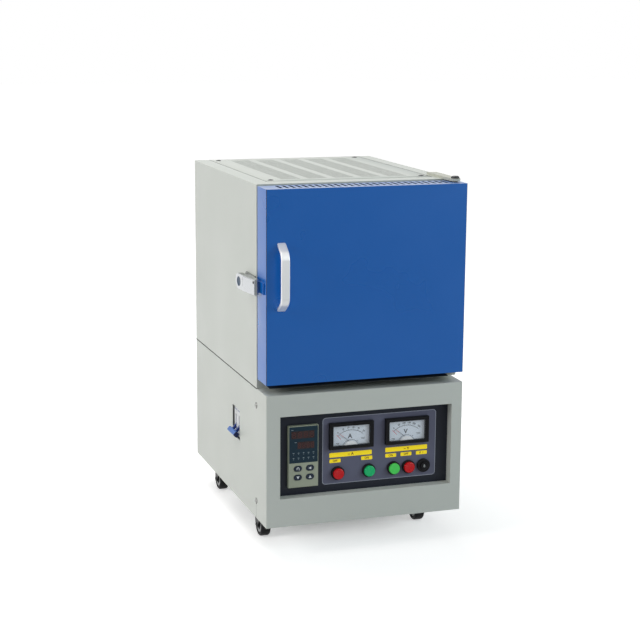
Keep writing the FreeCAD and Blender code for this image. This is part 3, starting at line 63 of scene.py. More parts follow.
def photo_camera():
    azimuth, elevation = math.radians(CAMERA_AZIMUTH), math.radians(CAMERA_ELEVATION)
    back = Vector((math.sin(azimuth) * math.cos(elevation), -math.cos(azimuth) * math.cos(elevation),
                   math.sin(elevation)))
    across = Vector((0, 0, 1)).cross(back).normalized()
    turn = Matrix((across, back.cross(across), back)).transposed().to_4x4()
    roll = Matrix.Rotation(math.radians(CAMERA_ROLL), 4, "Z")
    camera = bpy.data.objects.new("camera", bpy.data.cameras.new("camera"))
    camera.data.lens = CAMERA_LENS
    camera.matrix_world = Matrix.Translation(CAMERA_AT + back * CAMERA_DISTANCE) @ turn @ roll
    bpy.context.scene.collection.objects.link(camera)
    bpy.context.scene.camera = camera


def soft_lamp(name, place, size, power, tint=(1, 1, 1)):
    lamp = bpy.data.lights.new(name, "AREA")
    lamp.size = size
    lamp.energy = power
    lamp.color = tint
    holder = bpy.data.objects.new(name, lamp)
    holder.location = place
    holder.rotation_euler = (CAMERA_AT - holder.location).to_track_quat("-Z", "Y").to_euler()
    bpy.context.scene.collection.objects.link(holder)


def maths(tree, operation, first, second=None):
    """One Math node; each input is a socket or a number."""
    node = tree.nodes.new("ShaderNodeMath")
    node.operation = operation
    for socket, value in zip(node.inputs, (first, second)):
        if isinstance(value, (int, float)):
            socket.default_value = value
        elif value is not None:
            tree.links.new(value, socket)
    return node.outputs[0]


def spread(material, pattern, low, high, start=0.35, end=0.65):
    """Maps a pattern's values from start to end, by default its middle range, to low to high."""
    tree = material.node_tree
    ramp = tree.nodes.new("ShaderNodeMapRange")
    for socket, value in (("From Min", start), ("From Max", end), ("To Min", low), ("To Max", high)):
        ramp.inputs[socket].default_value = value
    tree.links.new(pattern, ramp.inputs["Value"])
    return ramp.outputs["Result"]


def own_axes(tree):
    """The X, Y and Z of the piece's own coordinates."""
    split = tree.nodes.new("ShaderNodeSeparateXYZ")
    tree.links.new(tree.nodes.new("ShaderNodeTexCoord").outputs["Object"], split.inputs[0])
    return split.outputs


def seen_directly(tree, reflected=None):
    """1 where the camera, a reflection or a clear part sees the surface, 0 where it lights the object.

    A socket in reflected, 0 to 1, says where on the surface reflections see it so."""
    path = tree.nodes.new("ShaderNodeLightPath")
    glossy = path.outputs["Is Glossy Ray"]
    if reflected:
        glossy = maths(tree, "MULTIPLY", glossy, reflected)
    either = maths(tree, "MAXIMUM", path.outputs["Is Camera Ray"], glossy)
    return maths(tree, "MAXIMUM", either, path.outputs["Is Transmission Ray"])


def show_instead(tree, factor, plain, shown, output):
    """Gives an output the plain shader, and the shown one where the factor is 1."""
    mix = tree.nodes.new("ShaderNodeMixShader")
    for source, socket in zip((factor, plain.outputs[0], shown.outputs[0]), mix.inputs):
        tree.links.new(source, socket)
    tree.links.new(mix.outputs[0], tree.nodes[output].inputs["Surface"])


def studio_world(light, backdrop):
    world = bpy.data.worlds.new("studio")
    world.use_nodes = True
    tree = world.node_tree
    lighting, seen = tree.nodes["Background"], tree.nodes.new("ShaderNodeBackground")
    for background, strength in ((lighting, light), (seen, backdrop)):
        background.inputs["Color"].default_value = (1, 1, 1, 1)
        background.inputs["Strength"].default_value = strength
    show_instead(tree, seen_directly(tree), lighting, seen, "World Output")
    bpy.context.scene.world = world


def studio_floor(half, near_glow, far_glow):
    """White paper: it glows more away from the object, where the lamps no longer reach, and its glow is held
    back under the object and round its foot, a painted shadow.

    Reflections see it white beside and behind the object and dark in front, as the studio is."""
    shape = bmesh.new()
    bmesh.ops.create_grid(shape, x_segments=1, y_segments=1, size=half)
    mesh = bpy.data.meshes.new("floor")
    shape.to_mesh(mesh)
    shape.free()
    material = bpy.data.materials.new("floor_paper")
    material.use_nodes = True
    tree = material.node_tree
    paper = tree.nodes["Principled BSDF"]
    paper.inputs["Base Color"].default_value = (0.62, 0.62, 0.62, 1)
    paper.inputs["Roughness"].default_value = 0.9
    paper.inputs["Specular IOR Level"].default_value = 0.0
    white = tree.nodes.new("ShaderNodeBsdfDiffuse")
    white.inputs["Color"].default_value = (0.97, 0.96, 0.95, 1)
    low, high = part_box("base_frame")
    middle = ((low.x + high.x) / 2, (low.y + high.y) / 2, 0)
    reach = ((high.x - low.x) / 2 - FOOT_INSET_X, (high.y - low.y) / 2 - FOOT_INSET_Y, 0)
    behind = spread(material, own_axes(tree)["Y"], 0.0, 1.0, DARK_FRONT, WHITE_BACK)
    away = tree.nodes.new("ShaderNodeTexCoord").outputs["Object"]
    for operation, value in (("SUBTRACT", middle), ("ABSOLUTE", None), ("SUBTRACT", reach),
                             ("MAXIMUM", (0, 0, 0)), ("LENGTH", None)):
        step = tree.nodes.new("ShaderNodeVectorMath")
        step.operation = operation
        tree.links.new(away, step.inputs[0])
        if value is not None:
            step.inputs[1].default_value = value
        away = step.outputs["Value" if operation == "LENGTH" else "Vector"]
    near = spread(material, away, 0.0, near_glow, *NEAR_RISE)
    far = spread(material, away, 0.0, far_glow - near_glow, *FAR_RISE)
    lift = tree.nodes.new("ShaderNodeEmission")
    both = tree.nodes.new("ShaderNodeAddShader")
    tree.links.new(maths(tree, "ADD", near, far), lift.inputs["Strength"])
    tree.links.new(white.outputs[0], both.inputs[0])
    tree.links.new(lift.outputs[0], both.inputs[1])
    show_instead(tree, seen_directly(tree, behind), paper, both, "Material Output")
    mesh.materials.append(material)
    floor = bpy.data.objects.new("floor", mesh)
    bpy.context.scene.collection.objects.link(floor)


photo_camera()
studio_world(0.34, 1.0)
studio_floor(14.0, 0.46, 0.72)
soft_lamp("key_left", Vector((-2.8, -0.5, 1.5)), 1.3, 30.5)
soft_lamp("top_rear", Vector((-0.5, 0.9, 2.6)), 1.6, 27)
soft_lamp("front_right", Vector((2.1, -1.9, 1.3)), 1.5, 25, (0.78, 0.93, 1.0))
bpy.context.scene.view_settings.view_transform = "Standard"

# Base cabinet: side and rear sheets of 1.2 mm steel around a folded frame, powder coated a light
# warm grey with a fine orange peel. The sheets are screwed on and meet in narrow seams.
SHARP, BROKEN = math.radians(32), math.radians(40)
WELD = 0.002 * MM


def screen(red, green, blue):
    """A colour given as it looks on a screen, 0 to 255, in the linear values that a shader takes."""
    linear = [v / 255 / 12.92 if v < 11 else ((v / 255 + 0.055) / 1.055) ** 2.4 for v in (red, green, blue)]
    return (*linear, 1.0)


def finish(name, colour, rough, metallic=0.0, coat=0.0, shine=0.35):
    material = bpy.data.materials.new(name)
    material.use_nodes = True
    shader = material.node_tree.nodes["Principled BSDF"]
    shader.inputs["Base Color"].default_value = colour
    shader.inputs["Roughness"].default_value = rough
    shader.inputs["Metallic"].default_value = metallic
    shader.inputs["Coat Weight"].default_value = coat
    shader.inputs["Coat Roughness"].default_value = 0.08
    shader.inputs["Specular IOR Level"].default_value = shine
    return material


def noise_on(material, scale, detail=3.0, stretch=(1, 1, 1)):
    """Noise over the piece's own coordinates, scale per metre, stretched along an axis for brushing."""
    tree = material.node_tree
    place = tree.nodes.new("ShaderNodeTexCoord")
    mapping = tree.nodes.new("ShaderNodeMapping")
    mapping.inputs["Scale"].default_value = stretch
    noise = tree.nodes.new("ShaderNodeTexNoise")
    noise.inputs["Scale"].default_value = scale
    noise.inputs["Detail"].default_value = detail
    tree.links.new(place.outputs["Object"], mapping.inputs["Vector"])
    tree.links.new(mapping.outputs["Vector"], noise.inputs["Vector"])
    return noise.outputs["Fac"]


def relief(material, height, strength, depth):
    """Bumps the surface by a height pattern, on top of any bump that is already there."""
    tree = material.node_tree
    shader = tree.nodes["Principled BSDF"]
    bump = tree.nodes.new("ShaderNodeBump")
    bump.inputs["Strength"].default_value = strength
    bump.inputs["Distance"].default_value = depth
    if shader.inputs["Normal"].is_linked:
        tree.links.new(shader.inputs["Normal"].links[0].from_socket, bump.inputs["Normal"])
    tree.links.new(height, bump.inputs["Height"])
    tree.links.new(bump.outputs["Normal"], shader.inputs["Normal"])


def vary_gloss(material, pattern, low, high):
    shader = material.node_tree.nodes["Principled BSDF"]
    material.node_tree.links.new(spread(material, pattern, low, high), shader.inputs["Roughness"])


def overlay(material, mask, colour):
    """Lays a colour over what the surface has so far, where the mask is 1."""
    tree = material.node_tree
    shader = tree.nodes["Principled BSDF"]
    mix = tree.nodes.new("ShaderNodeMix")
    mix.data_type = "RGBA"
    base = shader.inputs["Base Color"]
    if base.is_linked:
        tree.links.new(base.links[0].from_socket, mix.inputs["A"])
    else:
        mix.inputs["A"].default_value = base.default_value
    mix.inputs["B"].default_value = colour
    tree.links.new(mask, mix.inputs["Factor"])
    tree.links.new(mix.outputs["Result"], base)


def powder_coat(name, colour, worn, rough=0.42, peel=0.06):
    """Sprayed and baked paint: orange peel, slight tone and gloss changes over a sheet."""
    material = finish(name, colour, rough)
    clouds = noise_on(material, 7, 3)
    overlay(material, spread(material, clouds, 0.0, 0.35, 0.2, 0.8), worn)
    vary_gloss(material, noise_on(material, 12, 2), rough - 0.03, rough + 0.04)
    relief(material, noise_on(material, 1500, 2), peel, 0.15 * MM)
    return material


def make_piece(shape, name, body, material, edge=0.0, steps=2, stands_for=(), weld=True):
    """Turns a bmesh into a finished piece on its body, with its sharp edges broken by a small radius."""
    if weld:
        bmesh.ops.remove_doubles(shape, verts=shape.verts, dist=WELD)
        bmesh.ops.recalc_face_normals(shape, faces=shape.faces)
    mesh = bpy.data.meshes.new(name)
    shape.to_mesh(mesh)
    shape.free()
    mesh.materials.append(material)
    mesh.shade_smooth()
    mesh.set_sharp_from_angle(angle=SHARP)
    piece = bpy.data.objects.new(name, mesh)
    bpy.context.scene.collection.objects.link(piece)
    if edge:
        bevel = piece.modifiers.new("edges", "BEVEL")
        bevel.width = edge
        bevel.segments = steps
        bevel.limit_method = "ANGLE"
        bevel.angle_limit = BROKEN
        bevel.harden_normals = True
    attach(piece, body)
    if stands_for:
        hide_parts(*stands_for)
    return piece


def dressed(node, name, body, material, edge=0.3 * MM, steps=2):
    """The node's own form with its flat faces made whole and its edges broken, standing for the node."""
    shape = bmesh.new()
    shape.from_mesh(frame["nodes"][node].data)
    bmesh.ops.remove_doubles(shape, verts=shape.verts, dist=WELD)
    bmesh.ops.dissolve_limit(shape, angle_limit=math.radians(0.5), verts=shape.verts, edges=shape.edges)
    return make_piece(shape, name, body, material, edge, steps, (node,), weld=False)


casing_paint = powder_coat("casing_paint", screen(208, 212, 205), screen(200, 205, 198))
zinc_sheet = finish("zinc_sheet", screen(186, 190, 188), 0.38, metallic=0.9)
overlay(zinc_sheet, spread(zinc_sheet, noise_on(zinc_sheet, 70, 5), 0.0, 0.6), screen(150, 156, 158))
vary_gloss(zinc_sheet, noise_on(zinc_sheet, 45, 4), 0.28, 0.5)

for sheet in ("base_left_panel", "base_right_panel", "base_rear_panel"):
    dressed(sheet, sheet + "_sheet", "cabinet", casing_paint)
dressed("base_deck", "deck_sheet", "cabinet", casing_paint)
dressed("base_frame", "folded_frame", "cabinet", zinc_sheet, 0.2 * MM)

# Front fascia: one folded sheet with wings along both sides and a window whose edges are turned
# back to the control panel. It is powder coated with the rest and screwed on from the sides.
dressed("front_fascia", "fascia_sheet", "cabinet", casing_paint)

# Control panel: a sheet faced with a printed film, near black, with a slate field in a thin pale
# line behind the meters and switches. The sheet is held behind the fascia's window.
FIELD_LEFT, FIELD_RIGHT = 95.2 * MM, 282.5 * MM
FIELD_LOW, FIELD_HIGH = 56.8 * MM, 162.5 * MM
FIELD_CORNER = 5.0 * MM
LINE_HALF = 0.45 * MM
CABINET = Vector(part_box("front_fascia")[0])


def rounded_field(material, low, high, corner):
    """Distance from the outline of an upright rounded rectangle, in metres, below 0 inside it."""
    tree = material.node_tree
    axes, past = own_axes(tree), []
    for name, start, end in (("X", low[0], high[0]), ("Z", low[1], high[1])):
        away = maths(tree, "ABSOLUTE", maths(tree, "SUBTRACT", axes[name], (start + end) / 2))
        over = maths(tree, "SUBTRACT", away, (end - start) / 2 - corner)
        past.append(maths(tree, "MAXIMUM", over, 0.0))
    squares = [maths(tree, "POWER", each, 2.0) for each in past]
    length = maths(tree, "SQRT", maths(tree, "ADD", *squares))
    return maths(tree, "SUBTRACT", length, corner)


def panel_film():
    material = finish("panel_film", screen(36, 40, 50), 0.36, shine=0.2)
    tree = material.node_tree
    low = (CABINET.x + FIELD_LEFT, CABINET.z + FIELD_LOW)
    high = (CABINET.x + FIELD_RIGHT, CABINET.z + FIELD_HIGH)
    distance = rounded_field(material, low, high, FIELD_CORNER)
    overlay(material, maths(tree, "LESS_THAN", distance, 0.0), screen(104, 106, 126))
    line = maths(tree, "LESS_THAN", maths(tree, "ABSOLUTE", distance), LINE_HALF)
    overlay(material, line, screen(168, 172, 186))
    vary_gloss(material, noise_on(material, 40, 3), 0.32, 0.42)
    relief(material, noise_on(material, 2600, 1), 0.08, 0.05 * MM)
    return material


dressed("control_panel", "panel_sheet", "cabinet", panel_film(), 0.2 * MM)

# Temperature controller: a moulded olive-grey bezel, a dark display window with two unlit rows of
# digits and ten status marks, and four oval rubber keys below. It clips into the panel.
CONTROLLER_LOW, CONTROLLER_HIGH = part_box("controller_body")
FACE_BORDER, FACE_BOTTOM = 1.0 * MM, 39.0 * MM
FACE_SINK, FILM_PROUD = 0.6 * MM, 0.15 * MM
DIGITS = {"upper": (4.2, 41.4, 77.6, 89.4, 4), "lower": (14.2, 41.4, 61.2, 72.4, 4)}
MARK_ROWS = (46.6, 54.4)
INK, FILTER_PROUD, LIT_PROUD = 0.06 * MM, 0.12 * MM, 0.08 * MM
DIGIT_TALL, DIGIT_WIDE, DIGIT_BAR = 0.66, 0.52, 0.9 * MM
SEGMENTS = ((0, -0.5, 1), (0, 0, 1), (0, 0.5, 1), (-0.5, -0.25, 0), (0.5, -0.25, 0), (-0.5, 0.25, 0),
            (0.5, 0.25, 0))


def add_box(shape, low, high):
    made = bmesh.ops.create_cube(shape, size=1.0)["verts"]
    low, high = Vector(low), Vector(high)
    bmesh.ops.scale(shape, vec=high - low, verts=made)
    bmesh.ops.translate(shape, vec=(low + high) / 2, verts=made)
    return made


def round_edges(shape, edges, radius, steps):
    bmesh.ops.bevel(shape, geom=edges, offset=radius, offset_type="OFFSET", segments=steps, profile=0.5,
                    affect="EDGES", material=-1)


def add_plate(shape, low, high, corner, steps=5, along=1):
    """A box whose four edges along one axis are rounded."""
    made = add_box(shape, low, high)
    edges = {edge for vert in made for edge in vert.link_edges
             if abs((edge.verts[0].co - edge.verts[1].co).normalized()[along]) > 0.9}
    round_edges(shape, list(edges), corner, steps)


def moulded(name, colour, rough, grain=1800, depth=0.12, shine=0.3):
    """Injection-moulded plastic with a fine spark-eroded grain."""
    material = finish(name, colour, rough, shine=shine)
    relief(material, noise_on(material, grain, 2), depth, 0.1 * MM)
    vary_gloss(material, noise_on(material, 35, 3), rough - 0.05, rough + 0.05)
    return material


def printed(name, colour, rough=0.5):
    """Screen ink or film: flat colour with a slightly uneven gloss."""
    material = finish(name, colour, rough)
    vary_gloss(material, noise_on(material, 90, 3), rough - 0.06, rough + 0.06)
    return material


def controller_front():
    """The display's smoked film, which fills its recess and laps a little over the rim."""
    shape = bmesh.new()
    low = Vector((CONTROLLER_LOW.x + FACE_BORDER + 0.1 * MM, CONTROLLER_LOW.y - FILM_PROUD,
                  CONTROLLER_LOW.z + FACE_BOTTOM + 0.1 * MM))
    high = Vector((CONTROLLER_HIGH.x - FACE_BORDER - 0.1 * MM, CONTROLLER_LOW.y + FACE_SINK,
                   CONTROLLER_HIGH.z - FACE_BORDER - 0.1 * MM))
    add_plate(shape, low, high, 0.8 * MM)
    smoked = finish("controller_face", screen(34, 55, 68), 0.25, shine=0.15)
    vary_gloss(smoked, noise_on(smoked, 70, 3), 0.18, 0.28)
    make_piece(shape, "controller_face", "cabinet", smoked)


def digit_window(name, left, right, low, high, count):
    """One display filter with its unlit seven-segment digits behind."""
    face = CONTROLLER_LOW.y - FILM_PROUD
    shape = bmesh.new()
    corner = Vector((CONTROLLER_LOW.x, 0, CONTROLLER_LOW.z))
    add_plate(shape, (corner.x + left * MM, face - FILTER_PROUD, corner.z + low * MM),
              (corner.x + right * MM, face, corner.z + high * MM), 0.4 * MM)
    make_piece(shape, "display_filter_" + name, "cabinet",
               printed("display_filter_" + name, screen(50, 34, 35), 0.3))
    shape = bmesh.new()
    pitch = (right - left) / count * MM
    tall, wide, bar = (high - low) * DIGIT_TALL * MM, pitch * DIGIT_WIDE, DIGIT_BAR
    for i in range(count):
        x = corner.x + left * MM + pitch * (i + 0.5)
        z = corner.z + (low + high) / 2 * MM
        for dx, dz, flat in SEGMENTS:
            half_x = (wide / 2 - bar) if flat else bar / 2
            half_z = bar / 2 if flat else (tall / 4 - bar * 0.7)
            cx, cz = x + dx * wide, z + dz * tall
            add_box(shape, (cx - half_x, face - FILTER_PROUD - LIT_PROUD, cz - half_z),
                    (cx + half_x, face - FILTER_PROUD, cz + half_z))
    make_piece(shape, "display_digits_" + name, "cabinet",
               printed("display_digits_" + name, screen(84, 36, 34), 0.4))


def status_marks():
    """Ten small status lamps in two rows, and a short line beside each display."""
    face = CONTROLLER_LOW.y - FILM_PROUD
    shape = bmesh.new()
    for z in MARK_ROWS:
        for i in range(5):
            x = CONTROLLER_LOW.x + (8.0 + 8.0 * i) * MM
            low = CONTROLLER_LOW.z + z * MM
            for half, foot, top in ((1.3, 0.0, 0.9), (0.4, -2.2, -1.2)):
                add_box(shape, (x - half * MM, face - LIT_PROUD, low + foot * MM),
                        (x + half * MM, face, low + top * MM))
    for x0, x1, z in ((4.4, 7.6, 91.3), (9.6, 12.8, 71.4)):
        add_box(shape, (CONTROLLER_LOW.x + x0 * MM, face - LIT_PROUD, CONTROLLER_LOW.z + z * MM),
                (CONTROLLER_LOW.x + x1 * MM, face, CONTROLLER_LOW.z + (z + 0.8) * MM))
    make_piece(shape, "controller_marks", "cabinet",
               printed("controller_marks", screen(150, 165, 172)))


def push(shape, faces, by):
    """Makes flat faces into a solid by moving a copy of them along a vector."""
    made = bmesh.ops.extrude_face_region(shape, geom=faces)["geom"]
    bmesh.ops.translate(shape, vec=by, verts=[part for part in made if isinstance(part, bmesh.types.BMVert)])


def add_arc(shape, centre, radius, width, start, end, steps):
    """A flat curved line that faces the front, from one angle to another, 0 straight up."""
    spoke = Matrix.Rotation(start, 3, "Y") @ Vector((0, 0, 1))
    ends = [shape.verts.new(centre + spoke * (radius + side * width / 2)) for side in (-1, 1)]
    rung = shape.edges.new(ends)
    bmesh.ops.spin(shape, geom=ends + [rung], cent=centre, axis=(0, 1, 0), angle=end - start, steps=steps)
    push(shape, list({face for vert in shape.verts for face in vert.link_faces if face.is_valid and
                      abs(vert.co.y - centre.y) < 1e-7 and abs((vert.co - centre).length - radius) < width}),
         (0, -INK, 0))


def add_arrow_head(shape, tip, length, width, angle):
    """A flat three-cornered arrow head that faces the front and points along an angle, 0 straight up."""
    turn = Matrix.Rotation(angle, 3, "Y")
    corners = [shape.verts.new(tip + turn @ Vector((side * width / 2, 0, -back))) for side, back in
               ((0, 0), (-1, length), (1, length))]
    push(shape, [shape.faces.new(corners)], (0, -INK, 0))


def key_with_mark(node, heads, ring=None):
    """An oval rubber key with a crowned edge, and its white print: arrow heads, and an open ring."""
    dressed(node, node + "_cap", node, key_rubber, 0.8 * MM, 3)
    low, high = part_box(node)
    middle = (low + high) / 2
    middle.y = low.y + INK / 3
    shape = bmesh.new()
    for x, z, length, width, angle in heads:
        add_arrow_head(shape, middle + Vector((x, 0, z)) * MM, length * MM, width * MM, math.radians(angle))
    if ring:
        add_arc(shape, middle, ring * MM, 0.9 * MM, math.radians(-150), math.radians(120), 24)
    make_piece(shape, node + "_mark", node, key_print)


dressed("controller_body", "controller_case", "cabinet",
        moulded("controller_case", screen(168, 174, 154), 0.5), 0.35 * MM)
controller_front()
for display, sizes in DIGITS.items():
    digit_window(display, *sizes)
status_marks()
key_rubber = moulded("key_rubber", screen(30, 41, 56), 0.55, 1200, 0.2)
key_print = printed("key_print", screen(232, 236, 238))
key_with_mark("key_shift", [(-2.7, 0, 4.4, 4.6, -90)])
key_with_mark("key_down", [(0, -2.4, 4.4, 4.8, 180)])
key_with_mark("key_up", [(0, 2.4, 4.4, 4.8, 0)])
key_with_mark("key_set", [(0.9, -2.1, 1.9, 2.4, -120)], 1.9)

# Panel meters: black moulded cases with a recessed scale plate, a moving-coil needle that rests
# on zero, a white half-round cover over its hub and a clear front. They clamp behind the panel.
DIAL_WIDE, DIAL_THICK = 59.5 * MM, 0.8 * MM
ARC_RADIUS, ARC_DROP, ARC_HALF = 30.7 * MM, 11.3 * MM, math.radians(42)
NEEDLE_REST, NEEDLE_GREY = math.radians(52), 15.0 * MM
HUB_RADIUS, HUB_DROP, HUB_HALF = 12.2 * MM, 9.4 * MM, math.radians(62)
HUB_LINE_OUT, LINE_WIDE = 1.5 * MM, 0.5 * MM
NUMBER_GAP, LETTER_SIDE, LETTER_RISE = 4.3 * MM, -1.2 * MM, 9.6 * MM
SMALL_PRINT = ((16.5, 5.6, 7.0), (17.5, 3.8, 5.2), (9.6, 1.8, 2.4), (-24.6, -0.6, 6.0), (-22.6, -2.0, 3.6))
PRINT_TALL = 0.6 * MM
PIVOTS = {joint["name"]: Vector(joint["pos_m"]) for joint in frame["joints"] if "pos_m" in joint}


def lettering(shape, words, height, middle, turn=0.0, bold=0.0):
    """Adds upright generic characters that face the front, as thin raised ink."""
    curve = bpy.data.curves.new(words, "FONT")
    curve.body = words
    curve.size = height
    curve.align_x = "CENTER"
    curve.align_y = "CENTER"
    curve.extrude = INK / 2
    curve.offset = bold
    curve.resolution_u = 3
    holder = bpy.data.objects.new(words, curve)
    mesh = bpy.data.meshes.new_from_object(holder)
    upright = Matrix.Rotation(math.radians(90), 4, "X")
    mesh.transform(Matrix.Translation(middle) @ Matrix.Rotation(turn, 4, "Y") @ upright)
    shape.from_mesh(mesh)
    bpy.data.objects.remove(holder)
    bpy.data.meshes.remove(mesh)


def add_tick(shape, centre, radius, length, width, angle):
    made = add_box(shape, centre + Vector((-width / 2, -INK, radius)),
                   centre + Vector((width / 2, 0, radius + length)))
    bmesh.ops.rotate(shape, cent=centre, matrix=Matrix.Rotation(angle, 3, "Y"), verts=made)


def on_arc(angle):
    """How far the scale's flat arc is from the pivot along the needle at one angle."""
    return math.sqrt(ARC_RADIUS ** 2 - (ARC_DROP * math.sin(angle)) ** 2) - ARC_DROP * math.cos(angle)


def meter_scale(name, joint, values, letter):
    """Arc, ticks and numbers over the needle's whole sweep, a letter, and small print as plain bars."""
    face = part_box("meter_dials")[1].y - DIAL_THICK
    centre = Vector((PIVOTS[joint].x, face, PIVOTS[joint].z))
    shape = bmesh.new()
    add_arc(shape, centre - Vector((0, 0, ARC_DROP)), ARC_RADIUS, LINE_WIDE, -ARC_HALF, ARC_HALF, 40)
    last = len(values) - 1
    for i in range(last * 5 + 1):
        angle = NEEDLE_REST * (2 * i / (last * 5) - 1)
        length, width = (2.4, 0.45) if i % 5 == 0 else (1.3, 0.25)
        add_tick(shape, centre, on_arc(angle), length * MM, width * MM, angle)
    for i, value in enumerate(values):
        angle = NEEDLE_REST * (2 * i / last - 1)
        spot = centre + Matrix.Rotation(angle, 3, "Y") @ Vector((0, 0, on_arc(angle) + NUMBER_GAP))
        lettering(shape, value, 3.6 * MM, spot - Vector((0, INK / 2, 0)), angle * 0.7, 0.08 * MM)
    spot = centre + Vector((LETTER_SIDE, -INK / 2, LETTER_RISE))
    lettering(shape, letter, 10.0 * MM, spot, bold=0.25 * MM)
    for x, z, length in SMALL_PRINT:
        spot = centre + Vector((x * MM, 0, z * MM))
        add_box(shape, spot + Vector((0, -INK, 0)), spot + Vector((length * MM, 0, PRINT_TALL)))
    hub = centre - Vector((0, 0, HUB_DROP))
    add_arc(shape, hub, HUB_RADIUS + HUB_LINE_OUT, LINE_WIDE, -HUB_HALF, HUB_HALF, 20)
    make_piece(shape, name + "_scale", "cabinet", dial_ink, weld=False)
    shape = bmesh.new()
    add_tick(shape, centre - Vector((0, 0, ARC_DROP)), 23.5 * MM, 10.0 * MM, 0.8 * MM,
             -ARC_HALF - math.radians(1.5))
    make_piece(shape, name + "_red_line", "cabinet", red_ink)


def dial_plates():
    """The two printed aluminium plates."""
    low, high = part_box("meter_dials")
    shape = bmesh.new()
    for joint in ("ammeter_sweep", "voltmeter_sweep"):
        middle = PIVOTS[joint].x
        add_plate(shape, (middle - DIAL_WIDE / 2, high.y - DIAL_THICK, low.z),
                  (middle + DIAL_WIDE / 2, high.y, high.z), 0.6 * MM)
    make_piece(shape, "dial_plates", "cabinet", printed("dial_plate", screen(236, 243, 252)),
               stands_for=("meter_dials",))


def hub_covers():
    """The two low round-topped covers, each standing flat on the edge of its case."""
    shape = bmesh.new()
    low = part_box("meter_dials")[0]
    for joint in ("ammeter_sweep", "voltmeter_sweep"):
        centre = Vector((PIVOTS[joint].x, low.y + 0.2 * MM, PIVOTS[joint].z - HUB_DROP))
        foot = Vector((0, 0, low.z))
        made = bmesh.ops.create_cone(shape, cap_ends=True, segments=96, radius1=HUB_RADIUS,
                                     radius2=HUB_RADIUS, depth=0.9 * MM)["verts"]
        bmesh.ops.rotate(shape, cent=(0, 0, 0), matrix=Matrix.Rotation(math.radians(90), 3, "X"), verts=made)
        bmesh.ops.translate(shape, vec=centre, verts=made)
        geom = list({part for vert in made for part in (vert, *vert.link_edges, *vert.link_faces)})
        cut = bmesh.ops.bisect_plane(shape, geom=geom, plane_co=foot, plane_no=(0, 0, -1), clear_outer=True)
        rim = [part for part in cut["geom_cut"] if isinstance(part, bmesh.types.BMEdge)]
        bmesh.ops.contextual_create(shape, geom=rim)
    white = printed("hub_white", screen(255, 255, 255), 0.45)
    make_piece(shape, "hub_covers", "cabinet", white, 0.15 * MM)


def clear_cover():
    """Clear acrylic, thin enough to show the dial without bending it."""
    material = finish("clear_acrylic", screen(235, 242, 248), 0.03, shine=0.3)
    shader = material.node_tree.nodes["Principled BSDF"]
    shader.inputs["Alpha"].default_value = 0.06
    shader.inputs["IOR"].default_value = 1.49
    return material


def needle_paint(meter):
    """Thin anodised needle, grey at its root and sprayed red towards its tip."""
    material = printed(meter + "_needle_grey", screen(120, 128, 138), 0.4)
    tree = material.node_tree
    span = tree.nodes.new("ShaderNodeVectorMath")
    span.operation = "DISTANCE"
    tree.links.new(tree.nodes.new("ShaderNodeTexCoord").outputs["Object"], span.inputs[0])
    span.inputs[1].default_value = PIVOTS[meter + "_sweep"]
    overlay(material, maths(tree, "GREATER_THAN", span.outputs["Value"], NEEDLE_GREY), screen(206, 48, 62))
    return material


def coat_node(node, material):
    """Gives a CAD node that keeps its shape a better material."""
    mesh = frame["nodes"][node].data
    mesh.materials.clear()
    mesh.materials.append(material)


black_moulding = moulded("black_moulding", screen(20, 20, 23), 0.34, shine=0.15)
dressed("meter_cases", "meter_cases_moulded", "cabinet", black_moulding, 0.4 * MM)
dial_plates()
dial_ink = printed("dial_ink", screen(30, 32, 40), 0.55)
red_ink = printed("red_ink", screen(214, 60, 78), 0.5)
meter_scale("ammeter", "ammeter_sweep", ("0", "10", "20", "30", "40", "50"), "A")
meter_scale("voltmeter", "voltmeter_sweep", ("0", "50", "100", "150", "200", "250"), "V")
hub_covers()
for meter in ("ammeter", "voltmeter"):
    needle = meter + "_needle"
    dressed(needle, needle + "_blade", needle, needle_paint(meter), 0.05 * MM, 1)
coat_node("meter_windows", clear_cover())

# Switches: four push buttons and a key switch in black threaded bezels, each clamped to the panel
# by its nut. The caps are glossy coloured plastic. Fluorescent yellow labels stand above them.
PANEL_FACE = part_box("control_panel")[0].y
LABEL_THICK, LABEL_GLOW = 0.25 * MM, 0.26
LONG_LABELS = ((106.2, 175.8, 98.8, 106.0, "~ A"), (198.6, 268.8, 99.6, 106.8, "~ V"))
SHORT_LABELS = ((106.5, 124.6, 90.2, 96.0, "OFF"), (158.6, 176.8, 90.6, 96.4, "ON"),
                (198.6, 216.8, 91.0, 96.8, "ON"), (224.2, 242.4, 91.2, 97.0, "OFF"),
                (250.2, 268.6, 91.4, 97.2, "0  1"))


def add_turned(shape, outline, centre, along, steps=48, closed=False):
    """Turns an outline of (radius, distance) pairs in mm about an axis through the centre."""
    axis = Vector(along).normalized()
    side = axis.orthogonal().normalized()
    verts = [shape.verts.new(centre + (side * radius + axis * reach) * MM) for radius, reach in outline]
    pairs = list(zip(verts, verts[1:])) + ([(verts[-1], verts[0])] if closed else [])
    edges = [shape.edges.new(pair) for pair in pairs]
    bmesh.ops.spin(shape, geom=verts + edges, cent=centre, axis=axis, angle=math.tau, steps=steps,
                   use_merge=True)


def front_of(node):
    """The middle of a node's front, and how far the node reaches back from there, in mm."""
    low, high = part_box(node)
    return Vector(((low.x + high.x) / 2, low.y, (low.z + high.z) / 2)), (high.y - low.y) / MM


def glossy_cap(name, colour):
    """Clear-grained coloured polycarbonate, a little uneven where fingers touch it."""
    material = finish(name, colour, 0.24, coat=0.15, shine=0.25)
    vary_gloss(material, noise_on(material, 160, 3), 0.2, 0.34)
    relief(material, noise_on(material, 500, 2), 0.06, 0.1 * MM)
    return material


